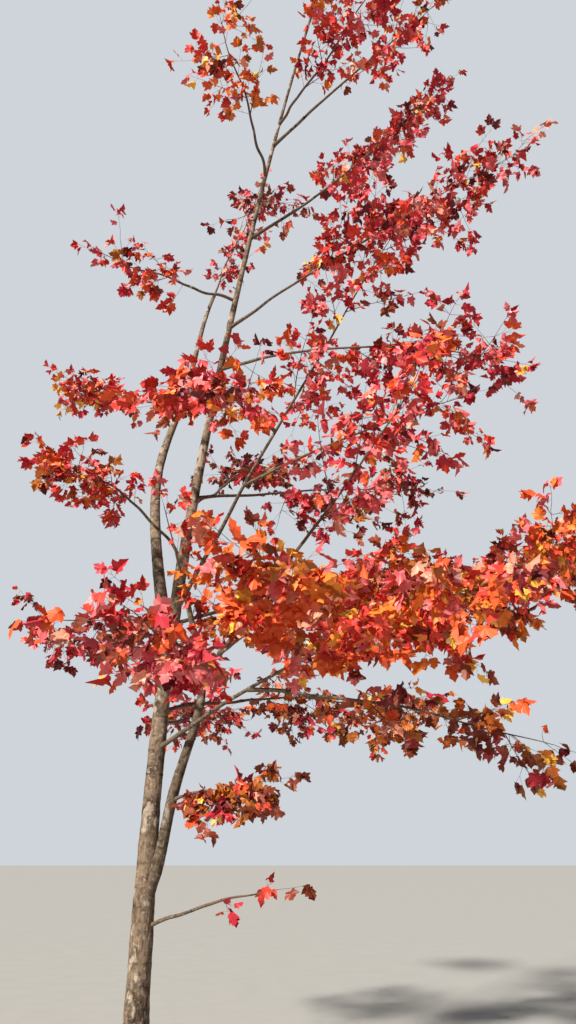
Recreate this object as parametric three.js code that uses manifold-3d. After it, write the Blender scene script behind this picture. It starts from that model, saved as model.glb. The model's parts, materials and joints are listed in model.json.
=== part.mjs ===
// A young red maple in autumn leaf, about ten metres tall, in millimetres with +Z up.
// The origin is the middle of the flat cut under the trunk, at ground level.
// Trunk, stems and boughs are bent, tapering tubes. Each mass of leaves carries one bough on:
// a stem with pairs of three-sided twigs, and flat eight-faced leaves that each stand for a spray.

import * as THREE from 'three';
import { mergeVertices } from 'three/addons/utils/BufferGeometryUtils.js';
import Module from 'manifold-3d';

const wasm = await Module();
wasm.setup();

// Bark pieces
const CUT_GAP = 0.3;
const TIP_RADIUS = 10;
const BOUGH_SWELL = 0.005;
const BOUGH_SIDES = 5;
const BOUGH_RINGS = 5;
const COLLAR_SWELL = 0.35;
const COLLAR_LENGTH = 60;
const SWAY_WAVES = 1.5;
const BOUGH_SWAY = 5;

// Root flare of the trunk
const FLARE_SWELL = 0.42;
const FLARE_HEIGHT = 190;
const FLARE_LOBES = 5;
const LOBE_DEPTH = 0.22;

// Masses of leaves: the stem and its pairs of twigs. A pair of numbers is a low and a high limit.
const STEM_RADIUS = 13;
const STEM_TAPER = 0.6;
const STEM_RINGS = 4;
const STEM_SWAY = 4;
const PAIR_SPACING = 345;
const PAIR_PLACE = [0.2, 0.8];
const TWIG_TRIES = 24;
const TWIG_SIDES = 3;
const TWIG_RADIUS_SHARE = 0.55;
const TWIG_LENGTH = [0.55, 0.9];
const TWIG_SHORTENING = 0.25;
const TWIG_SPREAD = [32, 72];
const TWIG_LIFT = [-40, 44];
const TWIG_CHECKS = [0.2, 0.3, 0.4, 0.5, 0.6, 0.7, 0.8, 0.9, 1];
const SEED_STEP = 7919;

// Leaves, each as large as a spray of real ones
const LEAF_LENGTH = 380;
const LEAF_WIDTH_SHARE = 0.78;
const LEAF_THICKNESS_SHARE = 0.03;
const LEAF_WIDEST_SHARE = 0.4;
const LEAF_TILT = [-50, 50];
const TIP_LEAF_SIZE = [0.85, 1.1];
const SIDE_LEAF_SIZE = [0.7, 1];
const SIDE_LEAF_PLACE = [0.25, 0.6];
const SIDE_LEAF_SPREAD = [40, 85];
const SIDE_LEAF_DROOP = [-10, 55];
const LEAF_CHECKS = [[0.2, 0], [0.4, 0], [0.4, -1], [0.4, 1], [0.7, 0.5], [0.7, -0.5], [0.9, 0]];
const FINE_CHECKS = [0.1, 0.25, 0.4, 0.55, 0.7, 0.85, 1].flatMap((share) => {
  const edge = Math.min(share / LEAF_WIDEST_SHARE, (1 - share) / (1 - LEAF_WIDEST_SHARE));
  return [-1, -0.5, 0, 0.5, 1].map((across) => [share, across * edge]);
});

// Room around them
const SPACE_FLATNESS = 0.75;
const SPACE_GAP = 30;
const LIMB_CLEARANCE = 30;
const LEAF_SPACING = 65;
const TWIG_SPACING = 35;

const BARK = { color: 0x8d8177, roughness: 0.9 };
const LEAF_COLORS = {
  crimson: 0xb3142b,
  scarlet: 0xd3301f,
  orange: 0xe2611d,
  maroon: 0x6d1620,
};

// A limb leaves its parent at a share of the parent's bare length. Its azimuth turns from +X to
// +Y, its rise is the angle above level, and over its length it bends by its lift and its turn.
// The first part of it, its bare share, is the bough, and a mass of leaves carries it on to its
// end. The mass's twigs reach that far to either side, and its leaves have one tint.
const LIMBS = [
  {
    name: 'trunk', azimuth: -38, rise: 90, length: 10200, lift: -25, turn: 0, bare: 0.85,
    flared: true, sway: 2, foot: 88, tip: 10, taper: 1.7, sides: 14, rings: 18, crowding: 1.6,
    reach: 520, tint: 'scarlet',
  },
  {
    name: 'right_stem', parent: 'trunk', at: 0.136, azimuth: -41, rise: 60, length: 2800, lift: 60,
    turn: 102, bare: 0.78, sway: 12, foot: 44, tip: 19, sides: 8, rings: 12, reach: 460,
    tint: 'scarlet',
  },
  {
    name: 'left_stem', parent: 'trunk', at: 0.33, azimuth: 132, rise: 68, length: 5900, lift: 4.4,
    turn: -132, bare: 0.73, sway: 5, foot: 50, tip: 17, sides: 8, rings: 12, reach: 600,
    tint: 'crimson',
  },
  {
    name: 'foot_bough', parent: 'trunk', at: 0.118, azimuth: -29, rise: 20, length: 1000, lift: -13,
    turn: 8, bare: 0.5, reach: 240, tint: 'maroon',
  },
  {
    name: 'under_bough', parent: 'right_stem', at: 0.3, azimuth: -48, rise: 14, length: 800,
    lift: -35, turn: 5, bare: 0.3, reach: 470, tint: 'orange',
  },
  {
    name: 'low_right_bough', parent: 'trunk', at: 0.248, azimuth: -49, rise: 18, length: 3100,
    lift: -20, turn: -10, bare: 0.42, reach: 600, tint: 'orange',
  },
  {
    name: 'low_hanging_bough', parent: 'low_right_bough', at: 0.82, azimuth: -26, rise: -8,
    length: 1850, lift: -12, turn: 4, bare: 0.35, reach: 480, tint: 'maroon',
  },
  {
    name: 'low_left_bough', parent: 'trunk', at: 0.296, azimuth: -61, rise: -9, length: 2700,
    lift: 11, turn: -54, bare: 0.45, reach: 560, tint: 'crimson',
  },
  {
    name: 'low_front_bough', parent: 'right_stem', at: 0.72, azimuth: -76, rise: -6, length: 2600,
    lift: 5, turn: -5, bare: 0.38, reach: 600, tint: 'scarlet',
  },
  {
    name: 'near_bough', parent: 'low_front_bough', at: 0.8, azimuth: -58, rise: 26, length: 2150,
    lift: 24, turn: 26, bare: 0.45, reach: 600, tint: 'crimson',
  },
  {
    name: 'mid_right_bough', parent: 'right_stem', at: 0.86, azimuth: -28, rise: -3, length: 2700,
    lift: 9, turn: -7, bare: 0.32, reach: 620, tint: 'orange',
  },
  {
    name: 'far_right_bough', parent: 'trunk', at: 0.35, azimuth: 8, rise: 17.2, length: 3300,
    lift: -18, turn: -7, bare: 0.28, reach: 620, tint: 'scarlet',
  },
  {
    name: 'low_back_right_bough', parent: 'trunk', at: 0.278, azimuth: 48, rise: 14, length: 2950,
    lift: -20, turn: -14, bare: 0.33, reach: 640, tint: 'orange',
  },
  {
    name: 'low_back_bough', parent: 'trunk', at: 0.262, azimuth: 82, rise: 17, length: 2600,
    lift: -15, turn: 8, bare: 0.33, reach: 640, tint: 'scarlet',
  },
  {
    name: 'low_back_left_bough', parent: 'trunk', at: 0.305, azimuth: 134, rise: 26, length: 1750,
    lift: -12, turn: 3, bare: 0.33, reach: 600, tint: 'crimson',
  },
  {
    name: 'mid_left_bough', parent: 'trunk', at: 0.402, azimuth: -168, rise: 62, length: 1350,
    lift: -78, turn: 45, bare: 0.42, reach: 520, tint: 'scarlet',
  },
  {
    name: 'mid_back_bough', parent: 'trunk', at: 0.452, azimuth: 72, rise: 36, length: 2300,
    lift: -9, turn: -4, bare: 0.33, reach: 600, tint: 'maroon',
  },
  {
    name: 'long_bough', parent: 'right_stem', at: 0.97, azimuth: -39, rise: 52, length: 3000,
    lift: -7, turn: -3, bare: 0.48, reach: 620, tint: 'crimson',
  },
  {
    name: 'middle_bough', parent: 'long_bough', at: 0.62, azimuth: -27, rise: 17, length: 1650,
    lift: -5, turn: 14, bare: 0.3, reach: 540, tint: 'crimson',
  },
  {
    name: 'mid_front_bough', parent: 'long_bough', at: 0.93, azimuth: -131, rise: 5, length: 1600,
    lift: -50, turn: 50, bare: 0.2, reach: 540, tint: 'orange',
  },
  {
    name: 'back_right_bough', parent: 'trunk', at: 0.462, azimuth: 41, rise: 18, length: 2650,
    lift: -2, turn: -4, bare: 0.33, reach: 660, tint: 'scarlet',
  },
  {
    name: 'upper_right_bough', parent: 'trunk', at: 0.585, azimuth: -32, rise: -1, length: 2250,
    lift: -24, turn: 13, bare: 0.3, reach: 600, tint: 'crimson',
  },
  {
    name: 'upper_left_bough', parent: 'trunk', at: 0.655, azimuth: -165, rise: 5, length: 1100,
    lift: 2, turn: 10, bare: 0.35, reach: 430, tint: 'scarlet',
  },
  {
    name: 'left_back_bough', parent: 'left_stem', at: 0.65, azimuth: 146, rise: 5, length: 1650,
    lift: 30, turn: 0, bare: 0.33, reach: 520, tint: 'scarlet',
  },
  {
    name: 'high_right_bough', parent: 'trunk', at: 0.627, azimuth: -30, rise: 21, length: 2550,
    lift: 10, turn: 26, bare: 0.26, reach: 620, tint: 'crimson',
  },
  {
    name: 'high_back_bough', parent: 'trunk', at: 0.74, azimuth: 84, rise: 50, length: 2150,
    lift: -7, turn: 3, bare: 0.33, reach: 600, tint: 'maroon',
  },
  {
    name: 'high_back_right_bough', parent: 'trunk', at: 0.721, azimuth: 7, rise: 40, length: 2850,
    lift: 20, turn: 12, bare: 0.3, reach: 620, tint: 'scarlet',
  },
  {
    name: 'high_left_bough', parent: 'trunk', at: 0.79, azimuth: -103, rise: 12, length: 1250,
    lift: 48, turn: -22, bare: 0.33, reach: 560, tint: 'orange',
  },
  {
    name: 'high_front_bough', parent: 'trunk', at: 0.825, azimuth: -17, rise: 42, length: 2350,
    lift: 12, turn: 33, bare: 0.32, reach: 560, tint: 'scarlet',
  },
  {
    name: 'top_right_bough', parent: 'trunk', at: 0.85, azimuth: -62, rise: 4, length: 1500,
    lift: 26, turn: 19, bare: 0.2, reach: 500, tint: 'crimson',
  },
];

function heading(azimuth, rise) {
  const around = THREE.MathUtils.degToRad(azimuth);
  const above = THREE.MathUtils.degToRad(rise);
  const level = Math.cos(above);
  return new THREE.Vector3(level * Math.cos(around), level * Math.sin(around), Math.sin(above));
}

// The same seed always gives the same run of numbers between two limits.
function seededDraw(seed) {
  let state = seed;
  return ([low, high]) => {
    state = (Math.imul(state, 1664525) + 1013904223) >>> 0;
    return low + ((high - low) * state) / 2 ** 32;
  };
}

// Where a limb points at a share of its length, with a slight sway to either side.
function bearing(limb, share) {
  const wave = Math.sin(2 * Math.PI * SWAY_WAVES * share) * limb.sway;
  return {
    azimuth: limb.azimuth + limb.turn * share + wave * 2,
    rise: limb.rise + limb.lift * share + wave,
  };
}

function headingAt(limb, share) {
  const { azimuth, rise } = bearing(limb, share);
  return heading(azimuth, rise);
}

// A limb's middle line: one point for each ring of the limb.
function layCourse(limb, start) {
  const crowding = limb.crowding ?? 1;
  limb.shares = Array.from({ length: limb.rings + 1 }, (_, ring) => (ring / limb.rings) ** crowding);
  limb.points = [start.clone()];
  for (let ring = 1; ring <= limb.rings; ring += 1) {
    const span = limb.shares[ring] - limb.shares[ring - 1];
    const step = headingAt(limb, limb.shares[ring] - span / 2).multiplyScalar(span * limb.length);
    limb.points.push(limb.points[ring - 1].clone().add(step));
  }
  return limb;
}

function pointOn(limb, share) {
  let ring = 1;
  while (ring < limb.rings && limb.shares[ring] < share) {
    ring += 1;
  }
  const [low, high] = [limb.shares[ring - 1], limb.shares[ring]];
  return limb.points[ring - 1].clone().lerp(limb.points[ring], (share - low) / (high - low));
}

function radiusAt(limb, share) {
  const plain = limb.tip + (limb.foot - limb.tip) * (1 - share) ** limb.taper;
  const collar = limb.parent ? COLLAR_SWELL * Math.exp((-share * limb.length) / COLLAR_LENGTH) : 0;
  return plain * (1 + collar);
}

function flareAt(height, angle) {
  const lobe = 1 + LOBE_DEPTH * Math.cos(FLARE_LOBES * angle);
  return 1 + FLARE_SWELL * lobe * Math.exp(-height / FLARE_HEIGHT);
}

function toManifold(geometry) {
  const bare = new THREE.BufferGeometry();
  bare.setAttribute('position', geometry.getAttribute('position'));
  bare.setIndex(geometry.getIndex());
  const merged = mergeVertices(bare, 1e-4);
  const corners = merged.getIndex().array;
  const triVerts = [];
  for (let first = 0; first < corners.length; first += 3) {
    const [a, b, c] = corners.slice(first, first + 3);
    if (a !== b && b !== c && c !== a) {
      triVerts.push(a, b, c);
    }
  }
  return new wasm.Manifold(
    new wasm.Mesh({
      numProp: 3,
      vertProperties: Float32Array.from(merged.getAttribute('position').array),
      triVerts: Uint32Array.from(triVerts),
    }),
  );
}

// A cylinder bent along a limb's course, ring by ring, and grown all over by extra.
function limbSolid(limb, extra = 0) {
  const geometry = new THREE.CylinderGeometry(1, 1, 1, limb.sides, limb.rings);
  const position = geometry.getAttribute('position');
  const frames = [];
  let across = new THREE.Vector3(0.6, -0.8, 0);
  for (let ring = 0; ring <= limb.rings; ring += 1) {
    const along = headingAt(limb, limb.shares[ring]);
    across = across.clone().addScaledVector(along, -across.dot(along)).normalize();
    frames.push({ across, over: across.clone().cross(along) });
  }
  for (let vertex = 0; vertex < position.count; vertex += 1) {
    const ring = Math.round((position.getY(vertex) + 0.5) * limb.rings);
    const angle = Math.atan2(position.getZ(vertex), position.getX(vertex));
    const rim = Math.hypot(position.getX(vertex), position.getZ(vertex));
    const flare = limb.flared ? flareAt(limb.points[ring].z, angle) : 1;
    const radius = rim * (radiusAt(limb, limb.shares[ring]) * flare + extra);
    const place = limb.points[ring].clone();
    place.addScaledVector(frames[ring].across, radius * Math.cos(angle));
    place.addScaledVector(frames[ring].over, radius * Math.sin(angle));
    position.setXYZ(vertex, place.x, place.y, place.z);
  }
  return toManifold(geometry);
}

// An octahedron drawn out into a flat kite, from its sunk root at the origin along +X.
function leafSolid(leaf) {
  const geometry = new THREE.OctahedronGeometry(1);
  const position = geometry.getAttribute('position');
  const side = leaf.normal.clone().cross(leaf.along);
  for (let vertex = 0; vertex < position.count; vertex += 1) {
    const share = [0, LEAF_WIDEST_SHARE, 1][Math.round(position.getX(vertex)) + 1];
    const place = leaf.root.clone().addScaledVector(leaf.along, share * leaf.length);
    place.addScaledVector(side, (position.getY(vertex) * leaf.length * LEAF_WIDTH_SHARE) / 2);
    place.addScaledVector(leaf.normal, (position.getZ(vertex) * leaf.length * LEAF_THICKNESS_SHARE) / 2);
    position.setXYZ(vertex, place.x, place.y, place.z);
  }
  return toManifold(geometry);
}

// How far a place is from a course, and at which ring of it. Flatness squeezes up and down.
function nearestOnCourse(place, points, flatness = 1) {
  const flatten = new THREE.Vector3(1, 1, 1 / flatness);
  const flatPlace = place.clone().multiply(flatten);
  const line = new THREE.Line3();
  const foot = new THREE.Vector3();
  const nearest = { distance: Infinity, ring: 0 };
  for (let ring = 0; ring < points.length - 1; ring += 1) {
    line.start.copy(points[ring]).multiply(flatten);
    line.end.copy(points[ring + 1]).multiply(flatten);
    line.closestPointToPoint(flatPlace, true, foot);
    const distance = foot.distanceTo(flatPlace);
    if (distance < nearest.distance) {
      Object.assign(nearest, { distance, ring });
    }
  }
  return nearest;
}

function stemDistance(place, spray) {
  return nearestOnCourse(place, spray.points, SPACE_FLATNESS).distance;
}

// A mass owns what lies within its reach and nearer to its own stem than to another mass's stem.
function staysInSpace(place, spray) {
  const own = stemDistance(place, spray);
  return own < spray.reach && sprays.every((other) => {
    const distance = stemDistance(place, other);
    return other === spray || distance > Math.min(own, other.reach) + SPACE_GAP;
  });
}

function clearsLimbs(place) {
  return limbs.every((limb) => {
    const { distance, ring } = nearestOnCourse(place, limb.points);
    return distance > radiusAt(limb, limb.shares[ring]) + LIMB_CLEARANCE;
  });
}

function allowed(place, spray) {
  return staysInSpace(place, spray) && clearsLimbs(place);
}

// Places on a leaf, at shares of its length and of half its width there.
function leafPlaces(leaf, checks) {
  const side = leaf.normal.clone().cross(leaf.along);
  return checks.map(([share, across]) => leaf.root.clone()
    .addScaledVector(leaf.along, share * leaf.length)
    .addScaledVector(side, (across * leaf.length * LEAF_WIDTH_SHARE) / 2));
}

function makeLeaf(root, azimuth, rise, length, draw) {
  const along = heading(azimuth, rise);
  const tilt = THREE.MathUtils.degToRad(draw(LEAF_TILT));
  const normal = along.clone().cross(heading(azimuth + 90, 0)).applyAxisAngle(along, tilt);
  return { root, along, normal, length };
}

// The leaf on the end of a stem or twig, which runs into the leaf's middle.
function tipLeaf(limb, draw) {
  const { azimuth, rise } = bearing(limb, 1);
  const length = LEAF_LENGTH * draw(TIP_LEAF_SIZE);
  const root = pointOn(limb, 1).addScaledVector(heading(azimuth, rise), -LEAF_WIDEST_SHARE * length);
  return makeLeaf(root, azimuth, rise, length, draw);
}

// One twig of a pair: a leaf on its tip and one on each side of it.
function makeTwig(spray, share, side, draw) {
  const { azimuth, rise } = bearing(spray, share);
  const twig = {
    ...TWIG,
    azimuth: azimuth + side * draw(TWIG_SPREAD),
    rise: rise / 2 + draw(TWIG_LIFT),
    length: spray.reach * (1 - TWIG_SHORTENING * share) * draw(TWIG_LENGTH),
    foot: radiusAt(spray, share) * TWIG_RADIUS_SHARE,
  };
  layCourse(twig, pointOn(spray, share));
  const leaves = [tipLeaf(twig, draw)];
  for (const turn of [-1, 1]) {
    const root = pointOn(twig, draw(SIDE_LEAF_PLACE));
    const azimuthOut = twig.azimuth + turn * draw(SIDE_LEAF_SPREAD);
    const riseOut = twig.rise - draw(SIDE_LEAF_DROOP);
    leaves.push(makeLeaf(root, azimuthOut, riseOut, LEAF_LENGTH * draw(SIDE_LEAF_SIZE), draw));
  }
  return { twig, leaves };
}

function clearsLeaves(place, leaves) {
  return leaves.every((leaf) => leafPlaces(leaf, LEAF_CHECKS)
    .every((other) => place.distanceTo(other) > LEAF_SPACING));
}

function clearsTwigs(place, twigs) {
  return twigs.every((twig) => nearestOnCourse(place, twig.points).distance > TWIG_SPACING);
}

// A leaf keeps to its mass's space, and stands apart from the leaves and twigs that are there.
function leafFits(leaf, spray, leaves, twigs) {
  return leafPlaces(leaf, LEAF_CHECKS)
    .every((place) => clearsLeaves(place, leaves) && clearsTwigs(place, twigs))
    && leafPlaces(leaf, FINE_CHECKS).every((place) => allowed(place, spray));
}

// A twig that leaves the space or touches something is tried another way, and then skipped.
function growTwig(spray, share, side, grown, draw) {
  for (let attempt = 0; attempt < TWIG_TRIES; attempt += 1) {
    const { twig, leaves } = makeTwig(spray, share, side, draw);
    const fitting = [];
    for (const leaf of leaves) {
      if (leafFits(leaf, spray, [...grown.leaves, ...fitting], grown.twigs)) {
        fitting.push(leaf);
      }
    }
    const clear = TWIG_CHECKS.map((part) => pointOn(twig, part))
      .every((place) => allowed(place, spray) && clearsLeaves(place, grown.leaves));
    if (clear && fitting.includes(leaves[0])) {
      grown.leaves.push(...fitting);
      grown.twigs.push(twig);
      return;
    }
  }
}

// The largest body of a solid. Loose scraps and sealed hollows are left behind.
function mainBody(solid) {
  return solid.decompose().sort((a, b) => b.volume() - a.volume())[0];
}

// One mass, with its stem, twigs and leaves joined to one body.
function growSpray(spray) {
  const draw = seededDraw(spray.seed);
  const grown = { leaves: [tipLeaf(spray, draw)], twigs: [] };
  const pairs = Math.round(spray.length / PAIR_SPACING);
  for (let pair = 0; pair < pairs; pair += 1) {
    for (const side of [-1, 1]) {
      growTwig(spray, (pair + draw(PAIR_PLACE)) / pairs, side, grown, draw);
    }
  }
  const twigSolids = [spray, ...grown.twigs].map((twig) => limbSolid(twig));
  const solids = [...twigSolids, ...grown.leaves.map(leafSolid)];
  return mainBody(solids.reduce((whole, solid) => whole.add(solid)));
}

function toMesh(name, solid, { color, roughness }) {
  const { vertProperties, triVerts } = solid.getMesh();
  const geometry = new THREE.BufferGeometry();
  geometry.setAttribute('position', new THREE.Float32BufferAttribute(vertProperties, 3));
  geometry.setIndex(Array.from(triVerts));
  geometry.computeVertexNormals();
  const material = new THREE.MeshStandardMaterial({ color, roughness, metalness: 0 });
  const mesh = new THREE.Mesh(geometry, material);
  mesh.name = name;
  return mesh;
}

const TWIG = { lift: 0, turn: 0, sway: 0, tip: 0, taper: 1, sides: TWIG_SIDES, rings: 1 };
const limbs = [];
const sprays = [];

// A row's bough takes the sizes that it doesn't name from its length, and its mass of leaves
// goes on from the bough's tip along the rest of the row's course.
for (const [index, row] of LIMBS.entries()) {
  const bare = {
    ...row,
    length: row.length * row.bare,
    lift: row.lift * row.bare,
    turn: row.turn * row.bare,
  };
  const limb = {
    foot: TIP_RADIUS + bare.length * BOUGH_SWELL,
    tip: TIP_RADIUS,
    taper: 1,
    sway: BOUGH_SWAY,
    sides: BOUGH_SIDES,
    rings: BOUGH_RINGS,
    ...bare,
  };
  const parent = limbs.find((other) => other.name === row.parent);
  limbs.push(layCourse(limb, parent ? pointOn(parent, row.at) : new THREE.Vector3()));
  const spray = {
    ...TWIG,
    ...bearing(limb, 1),
    name: row.name.replace('_bough', '') + '_leaves',
    length: row.length - bare.length,
    lift: row.lift - bare.lift,
    turn: row.turn - bare.turn,
    sway: STEM_SWAY,
    foot: STEM_RADIUS,
    taper: STEM_TAPER,
    rings: STEM_RINGS,
    reach: row.reach,
    tint: row.tint,
    seed: SEED_STEP * (index + 1),
  };
  sprays.push(layCourse(spray, pointOn(limb, 1).addScaledVector(headingAt(limb, 1), CUT_GAP)));
}

const tree = new THREE.Group();

for (const limb of limbs) {
  const parent = limbs.find((other) => other.name === limb.parent);
  const whole = limbSolid(limb);
  const solid = parent ? whole.subtract(limbSolid(parent, CUT_GAP)) : whole;
  tree.add(toMesh(limb.name, mainBody(solid), BARK));
}

for (const spray of sprays) {
  tree.add(toMesh(spray.name, growSpray(spray), { color: LEAF_COLORS[spray.tint], roughness: 0.6 }));
}

export default tree;
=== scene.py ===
"""A young red maple in autumn leaf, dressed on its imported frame.

Bark with relief covers the trunk, stems and boughs. Each mass of leaves is grown again by the
rule of its solid, from the same seeds, and carried on to finer twigs with leaves of real size.
"""

import json
import math
from functools import lru_cache

import bpy
import numpy as np
from bpy.props import FloatProperty, FloatVectorProperty, IntProperty, PointerProperty
from bpy.types import Operator, Panel, PropertyGroup
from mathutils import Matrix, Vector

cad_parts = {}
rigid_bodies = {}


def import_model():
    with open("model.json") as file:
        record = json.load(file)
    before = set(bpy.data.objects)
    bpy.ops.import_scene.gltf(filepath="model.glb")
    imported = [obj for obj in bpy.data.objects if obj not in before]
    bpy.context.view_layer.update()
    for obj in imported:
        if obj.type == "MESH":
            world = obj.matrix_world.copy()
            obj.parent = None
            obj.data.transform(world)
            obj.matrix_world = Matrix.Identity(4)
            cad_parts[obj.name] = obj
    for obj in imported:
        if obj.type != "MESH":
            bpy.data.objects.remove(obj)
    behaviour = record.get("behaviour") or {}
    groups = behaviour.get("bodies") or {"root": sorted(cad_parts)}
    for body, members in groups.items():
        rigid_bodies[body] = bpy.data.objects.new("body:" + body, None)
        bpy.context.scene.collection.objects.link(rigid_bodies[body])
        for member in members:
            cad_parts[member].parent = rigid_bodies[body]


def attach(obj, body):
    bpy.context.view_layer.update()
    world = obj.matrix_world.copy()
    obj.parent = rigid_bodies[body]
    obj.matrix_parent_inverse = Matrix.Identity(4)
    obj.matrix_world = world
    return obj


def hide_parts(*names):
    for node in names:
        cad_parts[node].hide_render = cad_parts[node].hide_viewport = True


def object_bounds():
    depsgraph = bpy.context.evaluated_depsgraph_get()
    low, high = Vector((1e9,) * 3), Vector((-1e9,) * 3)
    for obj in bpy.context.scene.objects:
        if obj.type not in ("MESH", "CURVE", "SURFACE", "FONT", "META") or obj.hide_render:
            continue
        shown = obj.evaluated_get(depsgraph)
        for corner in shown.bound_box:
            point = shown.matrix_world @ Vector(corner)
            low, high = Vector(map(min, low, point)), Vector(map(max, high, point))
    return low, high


bl_info = {
    "name": "Autumn maple tree",
    "version": (1, 0, 0),
    "blender": (4, 5, 0),
    "location": "View3D > Sidebar > Autumn tree",
    "description": "Bark, twigs and leaves of a young red maple, grown on its packed frame",
    "category": "Object",
}

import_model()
CAD_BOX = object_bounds()

# The skeleton is worked out in millimetres, as in the solids, and the meshes are in metres.
METRES = 0.001

# Bark pieces of the solids
CUT_GAP = 0.3
TIP_RADIUS = 10.0
BOUGH_SWELL = 0.005
BOUGH_RINGS = 5
BOUGH_SWAY = 5.0
COLLAR_SWELL = 0.35
COLLAR_LENGTH = 60.0
SWAY_WAVES = 1.5
FLARE_SWELL = 0.42
FLARE_HEIGHT = 190.0
FLARE_LOBES = 5
LOBE_DEPTH = 0.22

# Meshes of the bark: rings and corners
TRUNK_RING_SPACING = 12.0
TRUNK_RING_CROWDING = 1.25
SIDE_STEM_RING_SPACING = 9.0
SIDE_STEM_SIDES = 44
BOUGH_RING_SPACING = 22.0
BOUGH_SIDES_PER_MILLIMETRE = 0.6
LEAST_BOUGH_SIDES = 9
LEAST_RINGS = 12

# Relief of the bark: sizes round, round and along a limb, and depths in shares of its radius
FULL_RELIEF_RADIUS = 60.0
LUMP_SIZE = (55, 55, 120)
LUMP_SHARE = 0.13
RIPPLE_SIZE = (22, 22, 34)
RIPPLE_SHARE = 0.05
CRACK_SIZE = (15, 15, 95)
CRACK_WANDER = 9.0
CRACK_WANDER_SIZE = (60, 60, 45)
CRACK_WIDTH = 0.16
CRACK_FADE = 900.0
CRACK_LEAST = 0.12
SCAR_SPACING = (90.0, 330.0)
SCAR_STRENGTH = (0.3, 1.0)
SCAR_WIDTH = (4.0, 9.0)
SCAR_LEAST = 0.4
SCAR_VARIATION = 1.2
SCAR_BREAK_SIZE = (40, 40, 400)
SCAR_SWELL = 1.6

# Seeds of the relief, and the whole numbers that scramble a cell's place into a random value
TRUNK_SEED = 21
SIDE_STEM_SEEDS = {"right_stem": 26, "left_stem": 25}
BOUGH_SEED = 21
BARK_SEED_STEP = 17
HASH_STEPS = (73856093, 19349663, 83492791)
HASH_SEED_STEP = 2654435761
HASH_MIX = 1274126177
HASH_SHIFTS = (13, 16)
HASH_MOST = 2**24 - 1

# Masses of leaves of the solids. A pair of numbers is a low and a high limit.
STEM_RADIUS = 13.0
STEM_TAPER = 0.6
STEM_RINGS = 4
STEM_SWAY = 4.0
PAIR_SPACING = 345.0
PAIR_PLACE = (0.2, 0.8)
TWIG_TRIES = 24
TWIG_RADIUS_SHARE = 0.55
TWIG_LENGTH = (0.55, 0.9)
TWIG_SHORTENING = 0.25
TWIG_SPREAD = (32.0, 72.0)
TWIG_LIFT = (-40.0, 44.0)
TWIG_CHECKS = (0.2, 0.3, 0.4, 0.5, 0.6, 0.7, 0.8, 0.9, 1.0)
SEED_STEP = 7919
DRAW_STEP = 1664525
DRAW_SHIFT = 1013904223
DRAW_RANGE = 2**32
FAN_LENGTH = 380.0
FAN_WIDTH_SHARE = 0.78
FAN_WIDEST_SHARE = 0.4
FAN_TILT = (-50.0, 50.0)
TIP_FAN_SIZE = (0.85, 1.1)
SIDE_FAN_SIZE = (0.7, 1.0)
SIDE_FAN_PLACE = (0.25, 0.6)
SIDE_FAN_SPREAD = (40.0, 85.0)
SIDE_FAN_DROOP = (-10.0, 55.0)
# Places that are tested on a fan: along it, and across it in shares of half its width
FAN_CHECKS = np.array(((0.2, 0), (0.4, 0), (0.4, -1), (0.4, 1), (0.7, 0.5), (0.7, -0.5), (0.9, 0)))
FINE_CHECKS = np.array([
    (share, across * min(share / FAN_WIDEST_SHARE, (1 - share) / (1 - FAN_WIDEST_SHARE)))
    for share in (0.1, 0.25, 0.4, 0.55, 0.7, 0.85, 1.0)
    for across in (-1, -0.5, 0, 0.5, 1)
])
SPACE_FLATNESS = 0.75
SPACE_GAP = 30.0
LIMB_CLEARANCE = 30.0
FAR_AWAY = 1e9
FAN_SPACING = 65.0
TWIG_SPACING = 35.0

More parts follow.
